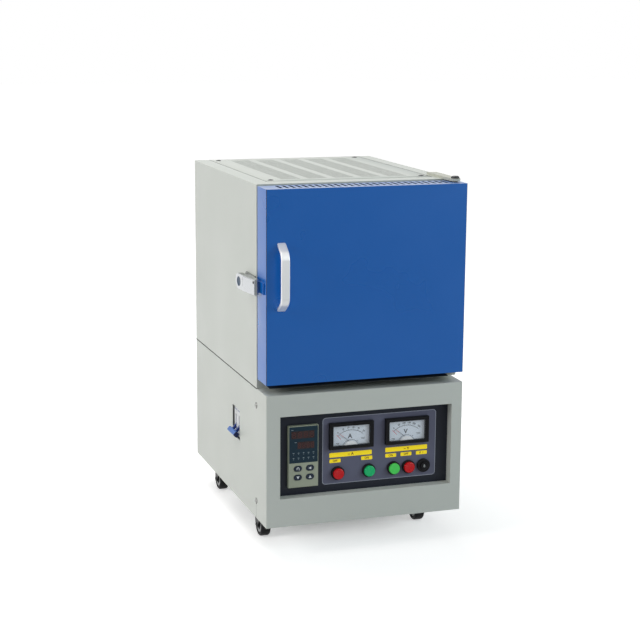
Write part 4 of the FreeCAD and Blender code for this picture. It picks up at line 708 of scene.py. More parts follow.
def push_button(node, material):
    """A cap with a dished face and rounded rim, and the stem behind it."""
    front, length = front_of(node)
    shape = bmesh.new()
    add_turned(shape, ((0, 0.5), (3.2, 0.42), (5.8, 0.16), (6.8, 0.0), (7.7, 0.12), (8.3, 0.5), (8.65, 1.15),
                       (8.7, 1.8), (8.7, 4.1), (8.15, 4.7), (4.0, 4.7), (4.0, length), (0, length)),
               front, (0, 1, 0), 64)
    make_piece(shape, node + "_cap", node, material, stands_for=(node,))


def yellow_labels():
    shape, words = bmesh.new(), bmesh.new()
    for labels, letters in ((LONG_LABELS, 6.4), (SHORT_LABELS, 4.6)):
        for x0, x1, z0, z1, mark in labels:
            low = Vector((CABINET.x + x0 * MM, PANEL_FACE - LABEL_THICK, CABINET.z + z0 * MM))
            high = Vector((CABINET.x + x1 * MM, PANEL_FACE, CABINET.z + z1 * MM))
            add_plate(shape, low, high, 0.9 * MM)
            middle = (low + high) / 2
            middle.y = low.y - INK / 2
            lettering(words, mark, letters * MM, middle, bold=0.12 * MM)
    film = printed("label_yellow", screen(255, 226, 32), 0.5)
    shader = film.node_tree.nodes["Principled BSDF"]
    # The film also glows a little though it is no lamp: painted light, standing in for its fluorescent
    # brightness.
    shader.inputs["Emission Color"].default_value = screen(255, 222, 32)
    shader.inputs["Emission Strength"].default_value = LABEL_GLOW
    make_piece(shape, "yellow_labels", "cabinet", film)
    label_ink = printed("label_ink", screen(84, 52, 28), 0.55)
    make_piece(words, "label_letters", "cabinet", label_ink, weld=False)


def key_switch():
    """The rotor's face with its rim, and the bright plate with the slot for the key."""
    front, length = front_of("key_rotor")
    shape = bmesh.new()
    add_turned(shape, ((0, 0.7), (4.4, 0.7), (4.9, 0.1), (5.4, 0.0), (6.1, 0.25), (6.5, 0.9), (6.5, 3.0),
                       (4.0, 3.0), (4.0, length), (0, length)), front, (0, 1, 0), 64)
    make_piece(shape, "key_rotor_face", "key_rotor", black_moulding,
               stands_for=("key_rotor",))
    shape = bmesh.new()
    add_plate(shape, front + Vector((-1.2, 0.4, -2.3)) * MM, front + Vector((1.2, 1.2, 2.3)) * MM, 0.9 * MM)
    make_piece(shape, "key_slot_plate", "key_rotor", zinc_sheet, 0.15 * MM)
    shape = bmesh.new()
    add_box(shape, front + Vector((-0.4, 0.35, -1.7)) * MM, front + Vector((0.4, 1.2, 1.7)) * MM)
    make_piece(shape, "key_slot", "key_rotor", black_moulding)


dressed("switch_bodies", "switch_bezels", "cabinet", black_moulding, 0.3 * MM)
red_cap = glossy_cap("red_cap", screen(212, 12, 22))
push_button("heat_off_button", red_cap)
push_button("heat_on_button", glossy_cap("green_cap", screen(14, 196, 116)))
push_button("power_on_button", glossy_cap("light_green_cap", screen(82, 228, 98)))
push_button("power_off_button", red_cap)
key_switch()
yellow_labels()

# Circuit breaker: two poles in a white glass-filled moulding on a top-hat rail, behind the window
# in the left side. One light-blue bar joins the two dark-blue arms that turn on the poles' pins.
BREAKER_PIN = PIVOTS["breaker_throw"]
BREAKER_LOW, BREAKER_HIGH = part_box("circuit_breaker")
BAR_DOWN, ARM_REACH, BAR_END = math.radians(48), 16.8 * MM, 0.25 * MM
POLE_HALF, MARK_SIDE = 9 * MM, 5.5 * MM


def toggle_plastic():
    """Dark-blue arms and a light-blue bar, told apart by the distance out from the pin, with painted shade, a
    dark navy, on the end face towards the front.
    """
    material = moulded("toggle_plastic", screen(38, 62, 132), 0.34)
    tree = material.node_tree
    axes = own_axes(tree)
    out = maths(tree, "MULTIPLY", maths(tree, "SUBTRACT", BREAKER_PIN.x, axes["X"]), math.cos(BAR_DOWN))
    down = maths(tree, "MULTIPLY", maths(tree, "SUBTRACT", BREAKER_PIN.z, axes["Z"]), math.sin(BAR_DOWN))
    reach = maths(tree, "ADD", out, down)
    overlay(material, maths(tree, "GREATER_THAN", reach, ARM_REACH), screen(60, 108, 184))
    # Painted shade: dark navy on the end face towards the front.
    painted_end_shade = maths(tree, "SUBTRACT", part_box("breaker_toggle")[0].y + BAR_END, axes["Y"])
    overlay(material, maths(tree, "GREATER_THAN", painted_end_shade, 0.0), screen(22, 36, 84))
    return material


def end_stop():
    """The grey-white stop clamped to the rail behind the poles."""
    front, top = BREAKER_LOW.x + 2 * MM, BREAKER_HIGH.z - 3 * MM
    shape = bmesh.new()
    add_plate(shape, (front, BREAKER_HIGH.y + 0.1 * MM, BREAKER_LOW.z + 3 * MM),
              (front + 40 * MM, BREAKER_HIGH.y + 9.5 * MM, top), 1.2 * MM, 3)
    stop_white = moulded("stop_white", screen(214, 216, 214), 0.5)
    make_piece(shape, "rail_end_stop", "cabinet", stop_white)


def breaker_face():
    """Printed marks on each pole's nose: on above, off below, and a plain grey rating field."""
    face = BREAKER_LOW.x
    shape, field = bmesh.new(), bmesh.new()
    for y in (BREAKER_PIN.y - POLE_HALF, BREAKER_PIN.y + POLE_HALF):
        for z, half_y, half_z in ((190.5, 0.35, 1.8), (157.0, 1.6, 0.35)):
            add_box(shape, (face - INK, y - half_y * MM - MARK_SIDE, (z - half_z) * MM),
                    (face, y + half_y * MM - MARK_SIDE, (z + half_z) * MM))
        add_box(field, (face - INK, y - 7.5 * MM, 192.4 * MM), (face, y + 7.5 * MM, 195.2 * MM))
    make_piece(shape, "breaker_marks", "cabinet", printed("breaker_ink", screen(60, 62, 70)))
    field_grey = printed("breaker_field", screen(168, 176, 190))
    make_piece(field, "breaker_field", "cabinet", field_grey)


dressed("circuit_breaker", "breaker_poles", "cabinet",
        moulded("breaker_white", screen(226, 228, 228), 0.42), 0.5 * MM, 3)
dressed("breaker_toggle", "breaker_handle", "breaker_toggle", toggle_plastic(), 0.4 * MM, 3)
breaker_face()
end_stop()

# Power parts on the base's floor: a transformer of stacked sheets with a taped coil, and a
# thyristor module on a finned heat sink. Both are screwed to the floor pan.
CORE_LOW, CORE_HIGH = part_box("transformer")
COIL_HALF, COIL_PROUD, YOKE = 27 * MM, 18 * MM, 20 * MM
SINK_LOW, SINK_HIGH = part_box("power_controller")
FINS, FIN_TALL, FIN_THICK, SINK_PLATE = 9, 28 * MM, 2 * MM, 6 * MM


def stacked_sheets():
    """Varnished transformer sheets on edge, seen as fine even lines."""
    material = finish("core_sheets", screen(70, 66, 62), 0.5, metallic=0.5)
    tree = material.node_tree
    place = tree.nodes.new("ShaderNodeTexCoord")
    lines = tree.nodes.new("ShaderNodeTexWave")
    lines.bands_direction = "Y"
    lines.inputs["Scale"].default_value = 320
    lines.inputs["Distortion"].default_value = 0.4
    tree.links.new(place.outputs["Object"], lines.inputs["Vector"])
    overlay(material, maths(tree, "MULTIPLY", lines.outputs["Fac"], 0.5), screen(96, 88, 80))
    relief(material, lines.outputs["Fac"], 0.4, 0.2 * MM)
    vary_gloss(material, noise_on(material, 60, 4), 0.4, 0.62)
    return material


def transformer_parts():
    """Core frame with two windows, and the coil's round-cornered block through them."""
    y0, y1 = CORE_LOW.y + COIL_PROUD, CORE_HIGH.y - COIL_PROUD
    low, high = CORE_LOW.z + YOKE, CORE_HIGH.z - YOKE
    middle = (CORE_LOW.x + CORE_HIGH.x) / 2
    shape = bmesh.new()
    for x0, x1, z0, z1 in ((CORE_LOW.x, CORE_HIGH.x, CORE_LOW.z, low),
                           (CORE_LOW.x, CORE_HIGH.x, high, CORE_HIGH.z),
                           (CORE_LOW.x, middle - COIL_HALF, low, high),
                           (middle + COIL_HALF, CORE_HIGH.x, low, high)):
        add_box(shape, (x0, y0, z0), (x1, y1, z1))
    for x in (CORE_LOW.x + 7 * MM, CORE_HIGH.x - 7 * MM):
        for z in (CORE_LOW.z + 8 * MM, CORE_HIGH.z - 8 * MM):
            add_turned(shape, ((0, 0), (5.0, 0), (5.0, -4.5), (0, -4.5)), Vector((x, y0, z)), (0, 1, 0), 6)
    make_piece(shape, "transformer_core", "cabinet", stacked_sheets(), 0.3 * MM,
               stands_for=("transformer",), weld=False)
    shape = bmesh.new()
    add_plate(shape, (middle - COIL_HALF, CORE_LOW.y, low + 0.2 * MM),
              (middle + COIL_HALF, CORE_HIGH.y, high - 0.2 * MM), 6 * MM, 6, 2)
    tape = finish("coil_tape", screen(196, 148, 74), 0.5)
    relief(tape, noise_on(tape, 90, 3, (1, 1, 9)), 0.5, 0.5 * MM)
    vary_gloss(tape, noise_on(tape, 50, 3), 0.4, 0.6)
    make_piece(shape, "transformer_coil", "cabinet", tape)


def heat_sink_parts():
    """Extruded aluminium sink with upright fins below its plate, and the black module on top."""
    plate = SINK_LOW.z + FIN_TALL
    shape = bmesh.new()
    add_box(shape, (SINK_LOW.x, SINK_LOW.y, plate), (SINK_HIGH.x, SINK_HIGH.y, plate + SINK_PLATE))
    for i in range(FINS):
        x = SINK_LOW.x + i * (SINK_HIGH.x - SINK_LOW.x - FIN_THICK) / (FINS - 1)
        add_box(shape, (x, SINK_LOW.y, SINK_LOW.z), (x + FIN_THICK, SINK_HIGH.y, plate))
    extruded = finish("extruded_aluminium", screen(188, 190, 194), 0.38, metallic=1.0)
    relief(extruded, noise_on(extruded, 900, 2, (1, 0.02, 1)), 0.2, 0.1 * MM)
    vary_gloss(extruded, noise_on(extruded, 80, 3), 0.3, 0.46)
    make_piece(shape, "module_sink", "cabinet", extruded, 0.3 * MM,
               stands_for=("power_controller",), weld=False)
    middle = (SINK_LOW.x + SINK_HIGH.x) / 2
    shape = bmesh.new()
    add_plate(shape, (middle - 30 * MM, SINK_LOW.y + 10 * MM, plate + SINK_PLATE),
              (middle + 30 * MM, SINK_HIGH.y - 10 * MM, SINK_HIGH.z - 2 * MM), 2 * MM, 4, 2)
    make_piece(shape, "power_module", "cabinet", black_moulding, 0.5 * MM)
    shape = bmesh.new()
    for i in range(4):
        x = middle + (i - 1.5) * 13 * MM
        add_turned(shape, ((0, 1.0), (1.4, 1.0), (1.6, 2.0), (3.4, 2.0), (3.8, 1.4), (3.8, 0), (0, 0)),
                   Vector((x, (SINK_LOW.y + SINK_HIGH.y) / 2, SINK_HIGH.z - 2 * MM)), (0, 0, 1), 24)
    make_piece(shape, "module_terminals", "cabinet", zinc_sheet)


transformer_parts()
heat_sink_parts()

# Casing: folded side sheets, a front frame round the chamber's mouth and a rear sheet, powder
# coated like the base and screwed together, with a ledge along the top for the punched cover.
CASING_LOW, CASING_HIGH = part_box("casing_left_side")
SHADE_STRIP_THICK, SHADE_STRIP_LIP, SHADE_STRIP_BACK = 0.5 * MM, 8 * MM, 5 * MM


def foot_joint_strip():
    """A dark strip along the joint between the casing and the base, seen as a dark line."""
    left, right = CASING_LOW.x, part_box("casing_right_side")[1].x
    front, back, proud = CASING_LOW.y, CASING_HIGH.y, 0.12 * MM
    z0, z1 = CASING_LOW.z - 1.1 * MM, CASING_LOW.z + 0.6 * MM
    shape = bmesh.new()
    for low, high in (((left - proud, front, z0), (left + 1 * MM, back, z1)),
                      ((right - 1 * MM, front, z0), (right + proud, back, z1)),
                      ((left - proud, back - 1 * MM, z0), (right + proud, back + proud, z1))):
        add_box(shape, low, high)
    rubber = moulded("joint_strip_and_gap_shade", screen(66, 70, 66), 0.8, 900, 0.2, 0.15)
    make_piece(shape, "foot_joint_strip", "cabinet", rubber, weld=False)
    return rubber


def shade_strip_under_door():
    """A black strip on the deck under the door, turned up against the casing's foot: painted shade for the
    door's shadow on the deck.
    """
    front, left = CASING_LOW.y, CABINET.x + 7 * MM
    right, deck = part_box("hinge_brackets")[0].x - 1.5 * MM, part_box("base_deck")[1].z
    shape = bmesh.new()
    add_plate(shape, (left, CABINET.y + SHADE_STRIP_BACK, deck), (right, front, deck + SHADE_STRIP_THICK), 3 * MM, 4, 2)
    add_box(shape, (left + 2 * MM, front - SHADE_STRIP_THICK, deck + 0.4 * MM),
            (right - 3 * MM, front, deck + SHADE_STRIP_LIP))
    rubber = moulded("under_door_shade_black", screen(50, 54, 57), 0.7, 900, 0.2, 0.15)
    make_piece(shape, "shade_strip_under_door", "cabinet", rubber, weld=False)


for sheet in ("casing_left_side", "casing_right_side", "casing_rear", "casing_front_frame"):
    dressed(sheet, sheet + "_sheet", "cabinet", casing_paint)
joint_strip_and_gap_shade = foot_joint_strip()
shade_strip_under_door()

# Top cover: one steel sheet with five perforated fields from front to back, which let the
# casing's warm air out. It drops onto the ledge and is held by four screws.
COVER_LOW, COVER_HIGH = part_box("top_cover")
FIELDS, FIELD_PITCH, FIELD_WIDE = 5, 44.0 * MM, 31.0 * MM
FIELD_FRONT, FIELD_BACK = COVER_LOW.y + 27.0 * MM, COVER_HIGH.y - 24.0 * MM
HOLE_SHADE_DEPTH, GAP_SHADE_WIDE, GAP_SHADE_PROUD = 0.06 * MM, 0.9 * MM, 0.08 * MM
HOLES_ACROSS, HOLES_ALONG, HOLE_RADIUS = 9, 86, 1.25 * MM


def perforated_field():
    """One field, made of square tiles with a six-sided hole in each, as a mesh to repeat."""
    shape = bmesh.new()
    step = Vector((FIELD_WIDE / HOLES_ACROSS, (FIELD_BACK - FIELD_FRONT) / HOLES_ALONG, 0))
    middle = Vector((step.x / 2, step.y / 2, 0))
    outer = [shape.verts.new((x * step.x, y * step.y, 0)) for x, y in ((0, 0), (1, 0), (1, 1), (0, 1))]
    inner = bmesh.ops.create_circle(shape, segments=6, radius=HOLE_RADIUS)["verts"]
    bmesh.ops.translate(shape, vec=middle, verts=inner)
    for pair in zip(outer, outer[1:] + outer[:1]):
        shape.edges.new(pair)
    bmesh.ops.triangle_fill(shape, use_beauty=True, edges=shape.edges[:])
    for count, shift in ((HOLES_ACROSS, Vector((step.x, 0, 0))), (HOLES_ALONG, Vector((0, step.y, 0)))):
        strip = shape.verts[:] + shape.edges[:] + shape.faces[:]
        for i in range(1, count):
            copy = bmesh.ops.duplicate(shape, geom=strip)["geom"]
            spots = [part for part in copy if isinstance(part, bmesh.types.BMVert)]
            bmesh.ops.translate(shape, vec=shift * i, verts=spots)
    bmesh.ops.remove_doubles(shape, verts=shape.verts, dist=0.01 * MM)
    mesh = bpy.data.meshes.new("perforated_field")
    shape.to_mesh(mesh)
    shape.free()
    return mesh


def punched_paint():
    """The casing's paint, with painted shade: dark on the holes' walls below the sheet's face."""
    material = powder_coat("punched_paint", screen(208, 212, 205), screen(200, 205, 198))
    tree = material.node_tree
    # Painted shade on the holes' walls.
    inside = maths(tree, "LESS_THAN", own_axes(tree)["Z"], COVER_HIGH.z - HOLE_SHADE_DEPTH)
    overlay(material, inside, screen(104, 108, 102))
    return material


def cover_gap_shades():
    """Thin dark strips in the joints beside the cover: painted shade for the shadow in the gaps."""
    shape = bmesh.new()
    for left in (COVER_LOW.x - GAP_SHADE_WIDE, COVER_HIGH.x):
        add_box(shape, (left, COVER_LOW.y, COVER_LOW.z),
                (left + GAP_SHADE_WIDE, COVER_HIGH.y, COVER_HIGH.z + GAP_SHADE_PROUD))
    make_piece(shape, "cover_gap_shades", "cabinet", joint_strip_and_gap_shade)


def punched_cover():
    """The sheet's plain strips round five copies of the field, made as thick as the sheet."""
    field = perforated_field()
    middle = (COVER_LOW.x + COVER_HIGH.x) / 2
    shape = bmesh.new()
    sides = [COVER_LOW.x]
    for i in range(FIELDS):
        left = middle + (i - (FIELDS - 1) / 2) * FIELD_PITCH - FIELD_WIDE / 2
        sides += [left, left + FIELD_WIDE]
        field.transform(Matrix.Translation((left, FIELD_FRONT, COVER_HIGH.z)))
        shape.from_mesh(field)
        field.transform(Matrix.Translation((-left, -FIELD_FRONT, -COVER_HIGH.z)))
    sides.append(COVER_HIGH.x)
    rows = (COVER_LOW.y, FIELD_FRONT, FIELD_BACK, COVER_HIGH.y)
    for i, (x0, x1) in enumerate(zip(sides, sides[1:])):
        for j, (y0, y1) in enumerate(zip(rows, rows[1:])):
            if not (i % 2 == 1 and j == 1):
                shape.faces.new([shape.verts.new((x, y, COVER_HIGH.z)) for x, y in
                                 ((x0, y0), (x1, y0), (x1, y1), (x0, y1))])
    bmesh.ops.remove_doubles(shape, verts=shape.verts, dist=WELD)
    shape.normal_update()
    bmesh.ops.reverse_faces(shape, faces=[face for face in shape.faces if face.normal.z < 0])
    cover = make_piece(shape, "punched_cover", "cabinet", punched_paint(),
                       stands_for=("top_cover",), weld=False)
    sheet = cover.modifiers.new("sheet", "SOLIDIFY")
    sheet.thickness = COVER_HIGH.z - COVER_LOW.z
    sheet.offset = -1
    bpy.data.meshes.remove(field)


punched_cover()
cover_gap_shades()

# Chamber: pressed ceramic-fibre boards round the hot space, a silicon-carbide hearth plate, four
# U-shaped heating elements hung through the roof in ceramic holders, and the thermocouple.


def fibre_board(name, colour):
    """Pale vacuum-formed fibre board: soft, matt and slightly lumpy."""
    material = finish(name, colour, 0.95, shine=0.1)
    overlay(material, spread(material, noise_on(material, 30, 5), 0.0, 0.5), screen(222, 214, 196))
    relief(material, noise_on(material, 260, 5), 0.5, 0.8 * MM)
    relief(material, noise_on(material, 1300, 3, (1, 1, 4)), 0.3, 0.3 * MM)
    vary_gloss(material, noise_on(material, 120, 2), 0.9, 1.0)
    return material


def fired_ceramic(name, colour, speck):
    """Dense fired ceramic with a fine speckle."""
    material = finish(name, colour, 0.75, shine=0.2)
    overlay(material, spread(material, noise_on(material, 420, 4), 0.0, 0.7), speck)
    relief(material, noise_on(material, 700, 4), 0.3, 0.3 * MM)
    vary_gloss(material, noise_on(material, 150, 3), 0.65, 0.85)
    return material


white_board = fibre_board("fibre_board", screen(238, 236, 229))
dressed("chamber_boards", "chamber_lining", "cabinet", white_board, 1.2 * MM, 3)
dressed("hearth_plate", "hearth", "cabinet",
        fired_ceramic("hearth_ceramic", screen(188, 180, 166), screen(150, 144, 134)), 0.5 * MM)
dressed("element_holders", "holder_blocks", "cabinet",
        fired_ceramic("holder_ceramic", screen(226, 220, 206), screen(206, 198, 182)), 0.8 * MM)
glazed_rod = finish("glazed_rod", screen(84, 82, 86), 0.3, metallic=0.5)
overlay(glazed_rod, spread(glazed_rod, noise_on(glazed_rod, 90, 5), 0.0, 0.8), screen(120, 112, 104))
vary_gloss(glazed_rod, noise_on(glazed_rod, 200, 4), 0.22, 0.5)
dressed("heating_elements", "element_rods", "cabinet", glazed_rod, 0)
braid = finish("strap_braid", screen(198, 200, 204), 0.42, metallic=1.0)
relief(braid, noise_on(braid, 900, 2, (1, 0.25, 1)), 0.5, 0.3 * MM)
vary_gloss(braid, noise_on(braid, 300, 2), 0.3, 0.55)
dressed("element_straps", "element_braids", "cabinet", braid, 0.6 * MM)
dressed("thermocouple", "thermocouple_sheath", "cabinet",
        fired_ceramic("couple_ceramic", screen(214, 200, 178), screen(196, 178, 152)), 0.6 * MM)

# Door: a folded steel tray, sprayed and baked glossy blue, with cooling slots in its top and a
# fibre board with a tapered plug behind its stainless back plate.
TRAY_SKIN, TRAY_TOP = 0.16 * MM, 0.05 * MM
door_paint = powder_coat("door_paint", screen(8, 102, 190), screen(8, 99, 186), 0.3, 0.02)
door_paint.node_tree.nodes["Principled BSDF"].inputs["Specular IOR Level"].default_value = 0.55


def tray_paint():
    """The door's blue on the outside of its tray, painted light on its top face, paler in patches as if lit
    from above, and painted shade, dark, on every face inside the tray and on the slots' walls.
    """
    material = door_paint.copy()
    material.name = "door_tray_paint"
    tree = material.node_tree
    low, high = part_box("door_shell")
    axes = own_axes(tree)
    depth = maths(tree, "SUBTRACT", axes["Y"], low.y)
    for first, second in ((axes["X"], low.x), (high.x, axes["X"]), (axes["Z"], low.z), (high.z, axes["Z"])):
        depth = maths(tree, "MINIMUM", depth, maths(tree, "SUBTRACT", first, second))
    # Painted shade: dark on every face deeper than the skin, inside the tray and on the slots' walls.
    overlay(material, maths(tree, "GREATER_THAN", depth, TRAY_SKIN), screen(24, 28, 38))
    # Painted light: the top face paler in patches, as lit from above.
    top = maths(tree, "GREATER_THAN", axes["Z"], high.z - TRAY_TOP)
    painted_top_light = spread(material, noise_on(material, 30, 3), 0.26, 0.42)
    overlay(material, maths(tree, "MULTIPLY", top, painted_top_light), screen(216, 226, 236))
    return material


stainless = finish("stainless", screen(196, 197, 198), 0.3, metallic=1.0)
relief(stainless, noise_on(stainless, 1100, 2, (1, 1, 0.02)), 0.15, 0.1 * MM)
vary_gloss(stainless, noise_on(stainless, 40, 4), 0.26, 0.42)
overlay(stainless, spread(stainless, noise_on(stainless, 18, 4), 0.0, 0.3), screen(180, 170, 152))
dressed("door_shell", "door_tray", "door", tray_paint(), 0.35 * MM, 2)
dressed("door_back_plate", "door_lining", "door", stainless, 0.25 * MM)
dressed("door_insulation", "door_plug", "door", white_board, 1.2 * MM, 3)

# Handle: a flat aluminium bar with well-rounded long edges, bent to a bow, satin finished along
# its length and screwed on from inside the door.
satin_bar = finish("satin_aluminium", screen(232, 232, 232), 0.5, metallic=0.9)
relief(satin_bar, noise_on(satin_bar, 1500, 2, (1, 1, 0.03)), 0.14, 0.08 * MM)
vary_gloss(satin_bar, noise_on(satin_bar, 60, 3, (1, 1, 0.2)), 0.46, 0.54)
HANDLE_LOW, HANDLE_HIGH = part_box("door_handle")
BAR_THICK, LEG_RISE = 5.0 * MM, 16.0 * MM
OUTER_BEND, INNER_BEND = 9.0 * MM, 6.4 * MM


def bow_handle():
    """The bow's outline, cut out across the bar's width, with its two bends rounded inside and out."""
    stand = HANDLE_HIGH.y - HANDLE_LOW.y
    leg = math.hypot(stand, LEG_RISE)
    shape, corners = bmesh.new(), []
    for inset in (0.0, BAR_THICK):
        out, rise = HANDLE_LOW.y + inset, LEG_RISE + inset * (leg - LEG_RISE) / stand
        foot = inset * leg / stand
        corners.append([(HANDLE_HIGH.y, HANDLE_LOW.z + foot), (out, HANDLE_LOW.z + rise),
                        (out, HANDLE_HIGH.z - rise), (HANDLE_HIGH.y, HANDLE_HIGH.z - foot)])
    outer, inner = corners
    verts = [shape.verts.new((HANDLE_LOW.x, y, z)) for y, z in outer + inner[::-1]]
    across = Vector((HANDLE_HIGH.x - HANDLE_LOW.x, 0, 0))
    push(shape, [shape.faces.new(verts)], across)
    for ring, offset in ((outer, OUTER_BEND), (inner, INNER_BEND)):
        bends = [edge for edge in shape.edges if abs(edge.verts[0].co.x - edge.verts[1].co.x) > across.x / 2
                 and any((edge.verts[0].co.yz - Vector(spot)).length < 0.01 * MM for spot in ring[1:3])]
        round_edges(shape, bends, offset, 12)
    make_piece(shape, "bow_handle", "door", satin_bar, 1.9 * MM, 5, ("door_handle",))


bow_handle()

# Latch: a pressed and chromed lever on an upright pin, sprung so that its lip stays in front of
# the keeper on the door. Pressing its round finger tab in lifts the lip off.
LATCH_LOW, LATCH_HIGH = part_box("latch_lever")
TAB_AT, EYE_AT, CREST_AT, NOSE_SHADE_AT, NOSE_AT = 101 * MM, 87 * MM, 58.5 * MM, 28 * MM, 24 * MM
TAB_OUT, CREST_OUT, NOSE_OUT, NOSE_FALL = 19 * MM, 16 * MM, 11.5 * MM, 5 * MM
PLATE_PLAN = ((-16.7, 68.6), (-15.9, 58.5), (-10.9, 24.4), (-11.5, 24.3), (-16.5, 58.5), (-17.3, 68.6))
CREASE_SHADE_PLAN = ((-16.6, 69.8), (-16.5, 68.5), (-17.1, 68.5), (-17.2, 69.8))
FLANGE_PLAN = ((-15.4, 74.0), (-17.3, 92.0), (-15.5, 94.5), (-10.6, 93.0), (-9.4, 91.0), (-8.2, 74.0))


def latch_painted_marks():
    """A slate-blue fill in the tab's eye, a painted reflection of the blue door, and a black dot near the
    lever's nose, painted shade for the dark hollow under the lip's corner.
    """
    middle = (LATCH_LOW.z + LATCH_HIGH.z) / 2
    plug, rivet = bmesh.new(), bmesh.new()
    slope = (TAB_OUT - CREST_OUT) / (TAB_AT - CREST_AT)
    spot = Vector((CABINET.x - CREST_OUT - slope * (EYE_AT - CREST_AT), CABINET.y + EYE_AT, middle))
    add_turned(plug, ((0, -0.5), (5.6, -0.5), (6.6, -0.3), (7.3, 0.25), (7.4, -1.6), (0, -1.6)), spot,
               (-1, -slope, 0))
    # Painted reflection: the eye filled slate blue, the blue door as the chrome reflects it.
    slate = moulded("eye_painted_reflection", screen(70, 88, 108), 0.4, 1500, 0.1, 0.2)
    make_piece(plug, "latch_eye_reflection", "latch_lever", slate)
    lean = NOSE_FALL / (CREST_AT - NOSE_AT)
    spot = Vector((CABINET.x - NOSE_OUT - lean * (NOSE_SHADE_AT - NOSE_AT), CABINET.y + NOSE_SHADE_AT,
                   LATCH_HIGH.z - 4.2 * MM))
    add_turned(rivet, ((0, 0.55), (1.2, 0.5), (2.2, 0.15), (2.4, -0.2), (0, -0.2)), spot, (-1, -lean, 0), 24)
    # Painted shade: a black dot for the dark hollow under the lip's corner.
    blackened = moulded("nose_shade_black", screen(22, 22, 24), 0.4, shine=0.15)
    make_piece(rivet, "latch_nose_shade", "latch_lever", blackened)


def add_plan(shape, corners, low, high):
    """A sheet cut to a plan outline of (x, y) pairs in mm from the cabinet's corner, between two heights."""
    verts = [shape.verts.new((CABINET.x + x * MM, CABINET.y + y * MM, low)) for x, y in corners]
    push(shape, [shape.faces.new(verts)], (0, 0, high - low))


def latch_folds():
    """The cover plate pressed over the lever's front, a dark strip behind its rear edge that is painted shade
    for the crease's shadow, and the flange turned in along the tab.
    """
    plate, crease_shade, flange = bmesh.new(), bmesh.new(), bmesh.new()
    add_plan(plate, PLATE_PLAN, LATCH_LOW.z + 1.0 * MM, LATCH_HIGH.z - 1.0 * MM)
    make_piece(plate, "latch_plate", "latch_lever", chrome, 0.2 * MM)
    # Painted shade: a dark strip behind the plate's rear edge, for the crease's shadow.
    add_plan(crease_shade, CREASE_SHADE_PLAN, LATCH_LOW.z + 7 * MM, LATCH_HIGH.z - 2 * MM)
    make_piece(crease_shade, "latch_crease_shade", "latch_lever", seat_steel, weld=False)
    add_plan(flange, FLANGE_PLAN, LATCH_HIGH.z - 0.9 * MM, LATCH_HIGH.z - 0.1 * MM)
    make_piece(flange, "latch_flange", "latch_lever", seat_steel, 0.2 * MM)


chrome = finish("chrome", screen(184, 187, 190), 0.12, metallic=1.0)
relief(chrome, noise_on(chrome, 55, 2), 0.06, 0.6 * MM)
vary_gloss(chrome, noise_on(chrome, 240, 4), 0.08, 0.22)
seat_steel = finish("seat_steel", screen(138, 142, 138), 0.34, metallic=0.7)
brushed = noise_on(seat_steel, 120, 4, (1, 0.12, 1))
overlay(seat_steel, spread(seat_steel, brushed, 0.0, 0.8), screen(92, 96, 92))
vary_gloss(seat_steel, noise_on(seat_steel, 200, 3), 0.25, 0.45)
dressed("latch_base", "latch_seat", "cabinet", seat_steel, 0.5 * MM, 3)
latch_painted_marks()
latch_folds()
dressed("latch_lever", "latch_arm", "latch_lever", chrome, 0.8 * MM, 3)
dressed("latch_keeper", "latch_catch", "door", door_paint, 0.4 * MM, 3)

# Hinges: a flat steel arm on the casing's roof and a bracket below, painted, with turned pins that
# drop through them into the door's bosses. The upper pin has a blackened domed head.
arm_paint = powder_coat("arm_paint", screen(196, 197, 184), screen(184, 184, 170), 0.45)
dressed("hinge_brackets", "hinge_arms", "cabinet", arm_paint, 0.4 * MM, 3)
black_steel = finish("blackened_steel", screen(58, 59, 60), 0.36, metallic=0.8)
overlay(black_steel, spread(black_steel, noise_on(black_steel, 300, 4), 0.0, 0.4), screen(78, 78, 80))
vary_gloss(black_steel, noise_on(black_steel, 180, 3), 0.28, 0.48)
dressed("pivot_pins", "hinge_pins", "cabinet", black_steel, 0.3 * MM)

# Casters: pressed steel plates and forks sprayed black, kingpins riveted through, black nylon
# wheels with a pale ring on their sides, and plated brake pedals on the two front ones.
FRONT_CASTERS, REAR_CASTERS = ("front_left", "front_right"), ("rear_left", "rear_right")
TYRE_HALF = ((13.6, 6.4), (14.1, 7.7), (15.0, 8.0), (16.4, 8.0), (17.8, 7.4), (18.7, 6.3), (19.0, 4.9))
DISC_HALF = ((3.05, 7.8), (5.6, 8.0), (6.0, 7.6), (6.3, 6.6), (13.8, 6.5))
caster_black = powder_coat("caster_black", screen(28, 29, 31), screen(38, 39, 42), 0.4)
caster_black.node_tree.nodes["Principled BSDF"].inputs["Specular IOR Level"].default_value = 0.2
tyre_nylon = moulded("tyre_nylon", screen(26, 26, 28), 0.5, 1400, 0.2, 0.15)
ring_nylon = moulded("ring_nylon", screen(168, 170, 170), 0.45, 1400, 0.15)
plated = finish("plated_pedal", screen(196, 196, 194), 0.24, metallic=1.0)
vary_gloss(plated, noise_on(plated, 150, 4), 0.16, 0.4)


def mirrored(half):
    """A closed outline of (radius, distance) pairs from its half on one side."""
    return tuple((radius, -reach) for radius, reach in half) + half[::-1]


